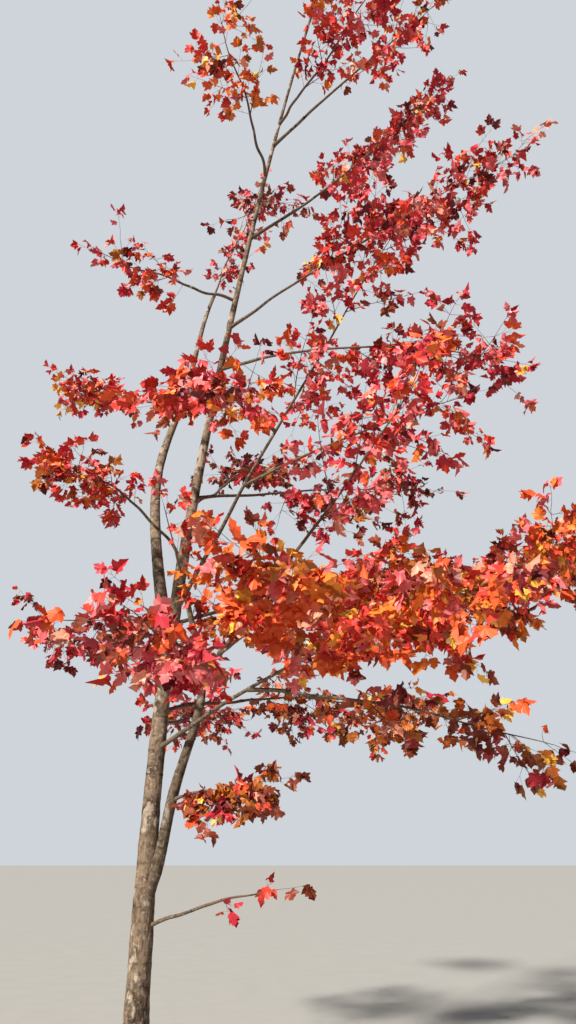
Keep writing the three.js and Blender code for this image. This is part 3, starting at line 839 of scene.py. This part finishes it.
def tube(points, radii, sides):
    """Rings round a line, closed at both ends: radii are one for each point or for each corner."""
    ways = unit(np.gradient(points, axis=0))
    across = unit(np.cross(ways[0], ODD_WAY))
    around = np.arange(sides)
    following = (around + 1) % sides
    angles = around * 2 * math.pi / sides
    radii = np.asarray(radii, float)
    if radii.ndim == 1:
        radii = np.repeat(radii[:, None], sides, 1)
    rings = []
    for point, way, radius in zip(points, ways, radii):
        across = unit(across - way * (across @ way))
        over = np.cross(way, across)
        spokes = np.outer(np.cos(angles), across) + np.outer(np.sin(angles), over)
        rings.append(point + radius[:, None] * spokes)
    triangles = []
    for ring in range(len(points) - 1):
        low, high = ring * sides, (ring + 1) * sides
        triangles.append(np.stack((low + around, low + following, high + following), 1))
        triangles.append(np.stack((low + around, high + following, high + around), 1))
    foot, end = len(points) * sides, len(points) * sides + 1
    last = (len(points) - 1) * sides
    triangles.append(np.stack((following, around, np.full(sides, foot)), 1))
    triangles.append(np.stack((last + around, last + following, np.full(sides, end)), 1))
    return np.concatenate([*rings, points[:1], points[-1:]]), np.concatenate(triangles)


def join(parts):
    """Several meshes as one: each part is vertices and triangles."""
    starts = np.cumsum([0] + [len(vertices) for vertices, _ in parts[:-1]])
    vertices = np.concatenate([vertices for vertices, _ in parts])
    triangles = np.concatenate([triangles + start for (_, triangles), start in zip(parts, starts)])
    return vertices, triangles


def lattice_noise(places, seed):
    """Smooth random numbers from 0 to 1 over space."""
    cell = np.floor(places).astype(np.int64)
    inside = places - cell
    fade = inside * inside * (3 - 2 * inside)
    total = np.zeros(len(places))
    for corner in np.ndindex(2, 2, 2):
        mixed = np.bitwise_xor.reduce((cell + corner) * HASH_STEPS, axis=1)
        mixed = mixed ^ (seed * HASH_SEED_STEP)
        mixed = (mixed ^ (mixed >> HASH_SHIFTS[0])) * HASH_MIX
        value = ((mixed ^ (mixed >> HASH_SHIFTS[1])) & HASH_MOST) / HASH_MOST
        weight = np.where(np.array(corner, bool), fade, 1 - fade).prod(1)
        total += weight * value
    return total


def scar_strengths(limb, along, seed):
    """How strong the marks round a limb are at each of its rings: they come at odd distances."""
    rng = np.random.default_rng(seed)
    scars = np.zeros(len(along))
    spot = 0.0
    while spot < limb.length:
        spot += rng.uniform(*SCAR_SPACING)
        strength = rng.uniform(*SCAR_STRENGTH)
        width = rng.uniform(*SCAR_WIDTH)
        scars = np.maximum(scars, strength * np.exp(-(((along - spot) / width) ** 2)))
    return scars


def bark_relief(limb, shares, sides, seed, fissure_depth):
    """A limb's radii in millimetres, where they lie on the straightened limb, scars and cracks."""
    angles = np.arange(sides) * 2 * math.pi / sides
    along = shares * limb.length
    plain = np.repeat(limb.radius_at(shares)[:, None], sides, 1)
    if limb.flared:
        lobes = 1 + LOBE_DEPTH * np.cos(FLARE_LOBES * angles)
        plain = plain * (1 + FLARE_SWELL * lobes * np.exp(-along / FLARE_HEIGHT)[:, None])
    height = np.repeat(along[:, None], sides, 1)
    place = np.stack((plain * np.cos(angles), plain * np.sin(angles), height), -1).reshape(-1, 3)
    lumps = lattice_noise(place / LUMP_SIZE, seed) - 0.5
    ripples = lattice_noise(place / RIPPLE_SIZE, seed + 1) - 0.5
    wander = CRACK_WANDER * lattice_noise(place / CRACK_WANDER_SIZE, seed + 4)
    streaks = lattice_noise((place + wander[:, None]) / CRACK_SIZE, seed + 2)
    cracks = np.clip((CRACK_WIDTH - np.abs(streaks - 0.5)) / CRACK_WIDTH, 0, 1)
    rough = CRACK_LEAST
    if limb.flared:
        rough = CRACK_LEAST + (1 - CRACK_LEAST) * np.exp(-place[:, 2] / CRACK_FADE)
    breaks = SCAR_LEAST + SCAR_VARIATION * lattice_noise(place / SCAR_BREAK_SIZE, seed + 3)
    scars = np.repeat(scar_strengths(limb, along, seed)[:, None], sides, 1).ravel() * breaks
    radius = plain.ravel()
    size = np.minimum(radius / FULL_RELIEF_RADIUS, 1.0)
    relief = radius * (LUMP_SHARE * lumps + RIPPLE_SHARE * ripples)
    relief -= fissure_depth * cracks * rough * size
    relief += scars * SCAR_SWELL * size
    radii = (radius + relief).reshape(-1, sides)
    return radii, place * METRES, np.clip(scars, 0, 1), cracks * rough


def closed(values):
    """A tube's values, with those of its two end points."""
    return np.concatenate((values, values[:1], values[-1:]))


def bark_piece(name, limbs, nodes, spacing, sides, seed, material, settings):
    """Limbs as tubes with the bark's relief, as one piece. Without sides, a thick limb has more."""
    parts, places, scars, cracks = [], [], [], []
    for number, limb in enumerate(limbs):
        steps = max(LEAST_RINGS, round(limb.length / spacing))
        shares = (np.arange(steps + 1) / steps) ** (TRUNK_RING_CROWDING if limb.flared else 1.0)
        around = sides or max(LEAST_BOUGH_SIDES, round(limb.foot * BOUGH_SIDES_PER_MILLIMETRE))
        radii, place, scar, crack = bark_relief(
            limb, shares, around, seed + BARK_SEED_STEP * number, settings.fissure_depth / METRES
        )
        vertices, triangles = tube(limb.smooth_points(shares), radii, around)
        parts.append((vertices * METRES, triangles))
        places.append(closed(place))
        scars.append(closed(scar))
        cracks.append(closed(crack))
    vertices, triangles = join(parts)
    vertices[:, 2] = np.maximum(vertices[:, 2], 0)
    attributes = (
        ("bark_place", "FLOAT_VECTOR", np.concatenate(places)),
        ("bark_scar", "FLOAT", np.concatenate(scars)),
        ("bark_crack", "FLOAT", np.concatenate(cracks)),
    )
    return add_piece(name, vertices, triangles, material, "bark", nodes, attributes)


def blade_mesh(rows):
    """Blades as one mesh: each is a lobed outline round a heart, folded and curled its own way."""
    outline = [(0.0, 0.0), *HALF_LEAF, (0.0, 1.0), *((-x, y) for x, y in reversed(HALF_LEAF))]
    shape = np.array([*outline, LEAF_HEART])
    heart = len(outline)
    corners = np.arange(heart)
    fan = np.stack((corners, np.roll(corners, -1), np.full(heart, heart)), 1)
    length, width, curl, fold, twist, ruffle, phase = (
        rows[:, [column]] for column in (LENGTH, WIDTH, CURL, FOLD, TWIST, RUFFLE, PHASE)
    )
    across = shape[:, 0] * width
    along = shape[:, 1] + 0 * width
    out = np.hypot(shape[:, 0], shape[:, 1] - LEAF_HEART[1])
    round_heart = np.arctan2(shape[:, 0], shape[:, 1] - LEAF_HEART[1])
    height = fold * np.abs(across) + curl * along**2 + twist * across * along
    height += ruffle * out * np.sin(RUFFLE_WAVES * round_heart + phase)
    way, face = rows[:, WAY], rows[:, FACE]
    side = np.cross(way, face)
    lie = across[..., None] * side[:, None] + along[..., None] * way[:, None]
    vertices = rows[:, None, KNEE] + length[..., None] * (lie + height[..., None] * face[:, None])
    triangles = fan + (np.arange(len(rows)) * len(shape))[:, None, None]
    return vertices.reshape(-1, 3) * METRES, triangles.reshape(-1, 3)


def stalk_mesh(rows):
    """Leaf stalks as one mesh: each is a thin three-sided cone from its twig to its blade."""
    start, end = rows[:, JOINT], rows[:, KNEE]
    way = unit(end - start)
    across = unit(np.cross(way, ODD_WAY))
    over = np.cross(way, across)
    angles = np.arange(3)[None, :, None] * 2 * math.pi / 3
    ring = np.cos(angles) * across[:, None] + np.sin(angles) * over[:, None]
    foot = start[:, None] + ring * STALK_RADII[0]
    head = end[:, None] + way[:, None] * STALK_OVERLAP + ring * STALK_RADII[1]
    triangles = np.array(STALK_TRIANGLES) + (np.arange(len(rows)) * 6)[:, None, None]
    return np.concatenate((foot, head), 1).reshape(-1, 3) * METRES, triangles.reshape(-1, 3)


# Materials
STREAK_SHADE = 0.3
MARK_SHADE = 0.7
MARK_DEPTH = 0.6
# How far painted shade darkens the bark in its cracks
CRACK_PAINTED_SHADE = 0.8
BARK_SHINE = 0.15
LEAF_SHINE = 0.35
BARK_ROUGHNESS = (0.74, 0.93)
TWIG_ROUGHNESS = (0.5, 0.8)
LEAF_ROUGHNESS = (0.30, 0.55)
STALK_ROUGHNESS = (0.4, 0.6)
# Sockets of a mix node by number, because those for values and for colours have the same names
MIX_FACTOR, MIX_VALUES, MIX_COLOURS = 0, (2, 3), (6, 7)
MIX_VALUE, MIX_COLOUR = 0, 2
# How dark the bark of a side stem or bough is, against the trunk's: painted shade, standing
# for the shade that the right stem and the boughs lie in
SIDE_STEM_SHADE_TONES = {"right_stem": 0.62, "left_stem": 1.0}
BOUGH_SHADE_TONE = 0.72


def new_group(name, inputs, outputs):
    """An empty node group with named sockets, and its inner input and output nodes."""
    group = bpy.data.node_groups.new(name, "ShaderNodeTree")
    for label, kind, value in inputs:
        socket = group.interface.new_socket(label, in_out="INPUT", socket_type=kind)
        if value is not None:
            socket.default_value = value
    for label, kind in outputs:
        group.interface.new_socket(label, in_out="OUTPUT", socket_type=kind)
    return group, group.nodes.new("NodeGroupInput"), group.nodes.new("NodeGroupOutput")


def noise(tree, vector, scale, detail, stretch=(1, 1, 1)):
    """A noise texture on a stretched vector."""
    mapping = tree.nodes.new("ShaderNodeMapping")
    mapping.inputs["Scale"].default_value = stretch
    tree.links.new(vector, mapping.inputs["Vector"])
    texture = tree.nodes.new("ShaderNodeTexNoise")
    texture.inputs["Scale"].default_value = scale
    texture.inputs["Detail"].default_value = detail
    tree.links.new(mapping.outputs["Vector"], texture.inputs["Vector"])
    return texture.outputs["Fac"]


def remap(tree, value, low, high, to_low=0.0, to_high=1.0):
    """A value from low to high, eased to one from to_low to to_high."""
    node = tree.nodes.new("ShaderNodeMapRange")
    node.interpolation_type = "SMOOTHSTEP"
    limits = {"From Min": low, "From Max": high, "To Min": to_low, "To Max": to_high}
    for key, number in limits.items():
        node.inputs[key].default_value = number
    tree.links.new(value, node.inputs["Value"])
    return node.outputs["Result"]


def blend_colours(tree, factor, first, second):
    node = tree.nodes.new("ShaderNodeMix")
    node.data_type = "RGBA"
    tree.links.new(factor, node.inputs[MIX_FACTOR])
    for socket, colour in zip(MIX_COLOURS, (first, second)):
        tree.links.new(colour, node.inputs[socket])
    return node.outputs[MIX_COLOUR]


def arithmetic(tree, operation, first, second):
    node = tree.nodes.new("ShaderNodeMath")
    node.operation = operation
    for socket, value in zip(node.inputs, (first, second)):
        if isinstance(value, (int, float)):
            socket.default_value = value
        else:
            tree.links.new(value, socket)
    return node.outputs[0]


def bark_group():
    """Weathered bark: blotches and patches, streaks along the limb, marks round it and scars."""
    found = bpy.data.node_groups.get("weathered_bark")
    if found:
        return found
    group, given, result = new_group(
        "weathered_bark",
        [("Place", "NodeSocketVector", None), ("Scar", "NodeSocketFloat", 0.0),
         ("Crack", "NodeSocketFloat", 0.0), ("Pale", "NodeSocketColor", None),
         ("Dark", "NodeSocketColor", None), ("Lichen", "NodeSocketColor", None),
         ("Scar Colour", "NodeSocketColor", None)],
        [("Color", "NodeSocketColor"), ("Roughness", "NodeSocketFloat"),
         ("Height", "NodeSocketFloat")],
    )
    place, scar, crack, pale, dark, lichen, scar_and_crack_shade_colour = given.outputs[:7]

    def pattern(scale, detail, stretch, low, high, strength=1.0):
        """A mask of spots or streaks: noise from low to high, up to its strength."""
        spots = noise(group, place, scale, detail, stretch)
        return remap(group, spots, low, high, to_high=strength)

    blotches = pattern(scale=9, detail=5, stretch=(1, 1, 1), low=0.46, high=0.66)
    streaks = noise(group, place, scale=90, detail=4, stretch=(1, 1, 0.2))
    marks = pattern(scale=70, detail=3, stretch=(0.25, 0.25, 1.6), low=0.6, high=0.78)
    patches = pattern(scale=13, detail=6, stretch=(1, 1, 0.7), low=0.53, high=0.64, strength=0.85)
    mottling = pattern(scale=30, detail=6, stretch=(1, 1, 0.8), low=0.48, high=0.66, strength=0.6)
    specks = pattern(scale=42, detail=5, stretch=(1, 1, 1.4), low=0.58, high=0.68, strength=0.55)
    colour = blend_colours(group, blotches, pale, dark)
    colour = blend_colours(group, patches, colour, lichen)
    colour = blend_colours(group, mottling, colour, dark)
    colour = blend_colours(group, specks, colour, lichen)
    shade = arithmetic(group, "MULTIPLY", remap(group, streaks, 0.35, 0.72), STREAK_SHADE)
    colour = blend_colours(group, shade, colour, dark)
    darkest = arithmetic(group, "MAXIMUM", arithmetic(group, "MULTIPLY", marks, MARK_SHADE), scar)
    # Painted shade: the cracks are darkened toward the scar colour.
    crack_painted_shade = arithmetic(group, "MULTIPLY", crack, CRACK_PAINTED_SHADE)
    darkest = arithmetic(group, "MAXIMUM", darkest, crack_painted_shade)
    colour = blend_colours(group, darkest, colour, scar_and_crack_shade_colour)
    sunk = arithmetic(group, "MULTIPLY", darkest, MARK_DEPTH)
    height = arithmetic(group, "SUBTRACT", streaks, sunk)
    roughness = remap(group, streaks, 0.3, 0.7, *BARK_ROUGHNESS)
    for key, value in (("Color", colour), ("Roughness", roughness), ("Height", height)):
        group.links.new(value, result.inputs[key])
    return group


def leaf_group():
    """A leaf's surface: roughness and small relief that wander over it."""
    found = bpy.data.node_groups.get("leaf_surface")
    if found:
        return found
    group, given, result = new_group(
        "leaf_surface",
        [("Place", "NodeSocketVector", None), ("Smooth", "NodeSocketFloat", 0.38),
         ("Rough", "NodeSocketFloat", 0.6)],
        [("Roughness", "NodeSocketFloat"), ("Height", "NodeSocketFloat")],
    )
    place, smooth, rough = given.outputs[:3]
    node = group.nodes.new("ShaderNodeMix")
    group.links.new(noise(group, place, scale=60, detail=3), node.inputs[MIX_FACTOR])
    for socket, value in zip(MIX_VALUES, (smooth, rough)):
        group.links.new(value, node.inputs[socket])
    group.links.new(node.outputs[MIX_VALUE], result.inputs["Roughness"])
    group.links.new(noise(group, place, scale=160, detail=2), result.inputs["Height"])
    return group


def new_material(name, colour):
    material = bpy.data.materials.new(name)
    material.use_nodes = True
    material.diffuse_color = (*colour, 1)
    return material, material.node_tree, material.node_tree.nodes["Principled BSDF"]


def add_bump(tree, shader, height, distance, strength):
    bump = tree.nodes.new("ShaderNodeBump")
    bump.inputs["Distance"].default_value = distance
    bump.inputs["Strength"].default_value = strength
    tree.links.new(height, bump.inputs["Height"])
    tree.links.new(bump.outputs["Normal"], shader.inputs["Normal"])


def bark_material(name, pale, dark, lichen, scar):
    material, tree, shader = new_material(name, pale)
    group = tree.nodes.new("ShaderNodeGroup")
    group.node_tree = bark_group()
    for key, label, output in (("bark_place", "Place", "Vector"), ("bark_scar", "Scar", "Fac"),
                               ("bark_crack", "Crack", "Fac")):
        attribute = tree.nodes.new("ShaderNodeAttribute")
        attribute.attribute_name = key
        tree.links.new(attribute.outputs[output], group.inputs[label])
    colours = {"Pale": pale, "Dark": dark, "Lichen": lichen, "Scar Colour": scar}
    for label, colour in colours.items():
        group.inputs[label].default_value = (*colour, 1)
    tree.links.new(group.outputs["Color"], shader.inputs["Base Color"])
    tree.links.new(group.outputs["Roughness"], shader.inputs["Roughness"])
    shader.inputs["Specular IOR Level"].default_value = BARK_SHINE
    add_bump(tree, shader, group.outputs["Height"], distance=0.004, strength=0.7)
    return material


def leaf_material(name, colour, roughness):
    """A plain colour with a surface that wanders, for blades, stalks and thin twigs."""
    material, tree, shader = new_material(name, colour)
    group = tree.nodes.new("ShaderNodeGroup")
    group.node_tree = leaf_group()
    group.inputs["Smooth"].default_value, group.inputs["Rough"].default_value = roughness
    place = tree.nodes.new("ShaderNodeTexCoord")
    tree.links.new(place.outputs["Object"], group.inputs["Place"])
    shader.inputs["Base Color"].default_value = (*colour, 1)
    tree.links.new(group.outputs["Roughness"], shader.inputs["Roughness"])
    shader.inputs["Specular IOR Level"].default_value = LEAF_SHINE
    add_bump(tree, shader, group.outputs["Height"], distance=0.0006, strength=0.4)
    return material


# Settings
def colour_property(name, description, default):
    return FloatVectorProperty(
        name=name, description=description, default=default, subtype="COLOR", min=0, max=1
    )


class BarkSettings(PropertyGroup):
    """Colours and sizes of the bark."""

    pale: colour_property("Pale bark", "Colour of the smooth young bark", (0.25, 0.185, 0.130))
    dark: colour_property("Dark bark", "Colour of its blotches and streaks", (0.052, 0.035, 0.024))
    lichen: colour_property("Lichen", "Colour of the palest patches", (0.52, 0.43, 0.34))
    # The scar colour also paints shade into the cracks.
    scar: colour_property("Scars", "Colour of cracks and marks round a limb", (0.014, 0.009, 0.006))
    twig: colour_property("Twigs", "Colour of the thin twigs", (0.13, 0.080, 0.052))
    stalk: colour_property("Stalks", "Colour of the leaf stalks", (0.45, 0.06, 0.05))
    fissure_depth: FloatProperty(
        name="Crack depth", description="How deep the cracks at the trunk's foot are",
        default=0.0045, min=0, max=0.01, unit="LENGTH",
    )
    trunk_sides: IntProperty(
        name="Trunk sides", description="Corners in each ring of the trunk",
        default=84, min=12, max=200,
    )


class LeafSettings(PropertyGroup):
    """Colours of the leaves."""

    crimson: colour_property("Crimson", "Deep red leaves", TINTS["crimson"][0])
    # Rose is partly the pale red of leaf undersides and partly a painted pinkish sheen.
    rose: colour_property("Rose", "Pale red leaves", TINTS["rose"][0])
    scarlet: colour_property("Scarlet", "Bright red leaves", TINTS["scarlet"][0])
    vermilion: colour_property("Vermilion", "Orange-red leaves", TINTS["vermilion"][0])
    # Salmon is partly pale curled leaves and partly a painted highlight on them.
    salmon: colour_property("Salmon", "Pale curled leaves", TINTS["salmon"][0])
    orange: colour_property("Orange", "Orange leaves", TINTS["orange"][0])
    gold: colour_property("Gold", "Yellow leaves", TINTS["gold"][0])
    # Amber paints the glow of shaded leaves lit through from behind.
    amber: colour_property("Amber", "Brown-orange leaves", TINTS["amber"][0])
    # Maroon and russet are dark leaf colours that also paint shade in the crown.
    maroon: colour_property("Maroon", "Dark red leaves", TINTS["maroon"][0])
    russet: colour_property("Russet", "Brown-red leaves", TINTS["russet"][0])


class StageSettings(PropertyGroup):
    """The floor and the light."""

    floor: colour_property("Floor", "Colour of the floor", (0.42, 0.42, 0.41))
    sky: colour_property("Surround", "Colour of the soft light all round", (0.80, 0.87, 1.0))
    backdrop: colour_property("Backdrop", "Plain colour behind the tree", (0.62, 0.66, 0.70))
    key_strength: FloatProperty(
        name="Key light", description="Strength of the main light",
        default=6.7, min=0, max=20,
    )
    fill_strength: FloatProperty(
        name="Fill light", description="Strength of the light all round",
        default=0.14, min=0, max=5,
    )
    key_softness: FloatProperty(
        name="Key softness", description="Angle that the main light fills",
        default=math.radians(5), min=0, max=math.pi, unit="ROTATION",
    )


class TreeSettings(PropertyGroup):
    """Everything that a user would change."""

    bark: PointerProperty(type=BarkSettings)
    leaves: PointerProperty(type=LeafSettings)
    stage: PointerProperty(type=StageSettings)


# Stage
CAMERA_PLACE = (0.95, -6.0, 1.5)
CAMERA_PITCH = 22.2
CAMERA_LENS = 29.14
CAMERA_REACH = 500.0
KEY_COLOUR = (1.0, 0.93, 0.83)
KEY_TILT = 52.0
KEY_AZIMUTH = -38.0
FLOOR_REACH = 90.0
FLOOR_ROUGHNESS = (0.75, 0.9)


def add_camera(scene):
    data = bpy.data.cameras.new("camera")
    data.lens = CAMERA_LENS
    data.clip_end = CAMERA_REACH
    camera = bpy.data.objects.new("camera", data)
    camera.location = CAMERA_PLACE
    camera.rotation_euler = (math.radians(90 + CAMERA_PITCH), 0, 0)
    scene.collection.objects.link(camera)
    scene.camera = camera


def add_lights(scene, settings):
    data = bpy.data.lights.new("key_light", "SUN")
    data.energy = settings.key_strength
    data.angle = settings.key_softness
    data.color = KEY_COLOUR
    key = bpy.data.objects.new("key_light", data)
    key.rotation_euler = (math.radians(KEY_TILT), 0, math.radians(KEY_AZIMUTH))
    scene.collection.objects.link(key)
    scene.world = surround(settings)


def surround(settings):
    """A soft light all round, and a paler plain colour where the camera sees past the floor."""
    world = bpy.data.worlds.new("surround")
    world.use_nodes = True
    tree = world.node_tree
    light = tree.nodes["Background"]
    light.inputs["Color"].default_value = (*settings.sky, 1)
    light.inputs["Strength"].default_value = settings.fill_strength
    seen = tree.nodes.new("ShaderNodeBackground")
    seen.inputs["Color"].default_value = (*settings.backdrop, 1)
    rays = tree.nodes.new("ShaderNodeLightPath")
    mix = tree.nodes.new("ShaderNodeMixShader")
    tree.links.new(rays.outputs["Is Camera Ray"], mix.inputs["Fac"])
    tree.links.new(light.outputs[0], mix.inputs[1])
    tree.links.new(seen.outputs[0], mix.inputs[2])
    tree.links.new(mix.outputs[0], tree.nodes["World Output"].inputs["Surface"])
    return world


def add_floor(scene, settings):
    signs = ((-1, -1), (1, -1), (1, 1), (-1, 1))
    corners = [(x * FLOOR_REACH, y * FLOOR_REACH, 0) for x, y in signs]
    mesh = bpy.data.meshes.new("floor")
    mesh.from_pydata(corners, [], [(0, 1, 2, 3)])
    floor = bpy.data.objects.new("floor", mesh)
    scene.collection.objects.link(floor)
    material, tree, shader = new_material("floor", settings.floor)
    shader.inputs["Base Color"].default_value = (*settings.floor, 1)
    place = tree.nodes.new("ShaderNodeTexCoord").outputs["Object"]
    grain = remap(tree, noise(tree, place, scale=3, detail=4), 0.3, 0.7, *FLOOR_ROUGHNESS)
    tree.links.new(grain, shader.inputs["Roughness"])
    mesh.materials.append(material)


# Operators
def bark_of(settings, name, shade_tone=1.0):
    """The bark's material, its colours darkened by a tone below 1 as painted shade."""
    colours = (settings.pale, settings.dark, settings.lichen, settings.scar)
    return bark_material(name, *(tuple(part * shade_tone for part in colour) for colour in colours))


class TREE_OT_stage(Operator):
    """The pale floor, the soft light and the camera"""

    bl_idname = "autumn_tree.stage"
    bl_label = "Stage"

    def execute(self, context):
        settings = context.scene.autumn_tree.stage
        context.scene.view_settings.view_transform = "Standard"
        add_camera(context.scene)
        add_lights(context.scene, settings)
        add_floor(context.scene, settings)
        return {"FINISHED"}


class TREE_OT_trunk(Operator):
    """The trunk, from its root flare to where it enters the highest leaves"""

    bl_idname = "autumn_tree.trunk"
    bl_label = "Trunk"

    def execute(self, context):
        settings = context.scene.autumn_tree.bark
        limbs, _, _ = skeleton()
        material = bark_of(settings, "trunk_bark")
        bark_piece("trunk_bark", [limbs["trunk"]], ["trunk"], TRUNK_RING_SPACING,
                   settings.trunk_sides, TRUNK_SEED, material, settings)
        return {"FINISHED"}


class TREE_OT_stems(Operator):
    """The two side stems"""

    bl_idname = "autumn_tree.stems"
    bl_label = "Side stems"

    def execute(self, context):
        settings = context.scene.autumn_tree.bark
        limbs, _, _ = skeleton()
        for name, shade_tone in SIDE_STEM_SHADE_TONES.items():
            # The right stem's bark is darkened with painted shade; the left stem's keeps the
            # trunk's colours.
            material = bark_of(settings, name + "_bark", shade_tone)
            bark_piece(name + "_bark", [limbs[name]], [name], SIDE_STEM_RING_SPACING,
                       SIDE_STEM_SIDES, SIDE_STEM_SEEDS[name], material, settings)
        return {"FINISHED"}


class TREE_OT_boughs(Operator):
    """All the boughs, joined into one piece"""

    bl_idname = "autumn_tree.boughs"
    bl_label = "Boughs"

    def execute(self, context):
        settings = context.scene.autumn_tree.bark
        limbs, _, _ = skeleton()
        names = [name for name in limbs if name.endswith("_bough")]
        # The boughs' bark is darkened with painted shade.
        material = bark_of(settings, "bough_bark", BOUGH_SHADE_TONE)
        bark_piece("bough_bark", [limbs[name] for name in names], names, BOUGH_RING_SPACING, None,
                   BOUGH_SEED, material, settings)
        return {"FINISHED"}


class TREE_OT_twigs(Operator):
    """The stems of the masses and their twigs, joined into one piece"""

    bl_idname = "autumn_tree.twigs"
    bl_label = "Twigs"

    def execute(self, context):
        settings = context.scene.autumn_tree.bark
        runs, _ = foliage()
        _, sprays, _ = skeleton()
        vertices, triangles = join([tube(*run) for run in runs])
        material = leaf_material("twig_bark", settings.twig, TWIG_ROUGHNESS)
        nodes = [spray.name for spray in sprays]
        add_piece("twigs", vertices * METRES, triangles, material, "bark", nodes)
        return {"FINISHED"}


class TREE_OT_leaves(Operator):
    """The leaves, one piece for each tint, and all their stalks"""

    bl_idname = "autumn_tree.leaves"
    bl_label = "Leaves"

    def execute(self, context):
        settings = context.scene.autumn_tree
        _, sprays, _ = skeleton()
        _, by_tint = foliage()
        for tint, rows in by_tint.items():
            nodes = [spray.name for spray in sprays if (rows[:, MASS] == spray.mass).any()]
            material = leaf_material(tint + "_leaf", getattr(settings.leaves, tint), LEAF_ROUGHNESS)
            name, slot = tint + "_leaves_piece", TINTS[tint][1]
            add_piece(name, *blade_mesh(rows), material, slot, nodes, smooth=False)
        rows = np.concatenate(list(by_tint.values()))
        material = leaf_material("leaf_stalk", settings.bark.stalk, STALK_ROUGHNESS)
        nodes = [spray.name for spray in sprays]
        add_piece("leaf_stalks", *stalk_mesh(rows), material, "bark", nodes)
        return {"FINISHED"}


class TREE_PT_panel(Panel):
    """Lists the pieces of the tree and their settings"""

    bl_label = "Autumn tree"
    bl_space_type = "VIEW_3D"
    bl_region_type = "UI"
    bl_category = "Autumn tree"

    def draw(self, context):
        settings = context.scene.autumn_tree
        for operator in OPERATORS:
            self.layout.operator(operator.bl_idname)
        for group in (settings.bark, settings.leaves, settings.stage):
            box = self.layout.box()
            for key in group.__annotations__:
                box.prop(group, key)


OPERATORS = (
    TREE_OT_stage, TREE_OT_trunk, TREE_OT_stems, TREE_OT_boughs, TREE_OT_twigs, TREE_OT_leaves,
)
CLASSES = (BarkSettings, LeafSettings, StageSettings, TreeSettings, *OPERATORS, TREE_PT_panel)


def register():
    for cls in CLASSES:
        bpy.utils.register_class(cls)
    bpy.types.Scene.autumn_tree = PointerProperty(type=TreeSettings)


def unregister():
    del bpy.types.Scene.autumn_tree
    for cls in reversed(CLASSES):
        bpy.utils.unregister_class(cls)


def main():
    register()
    bpy.ops.autumn_tree.stage()
    bpy.ops.autumn_tree.trunk()
    bpy.ops.autumn_tree.stems()
    bpy.ops.autumn_tree.boughs()
    bpy.ops.autumn_tree.twigs()
    bpy.ops.autumn_tree.leaves()


if __name__ == "__main__":
    main()
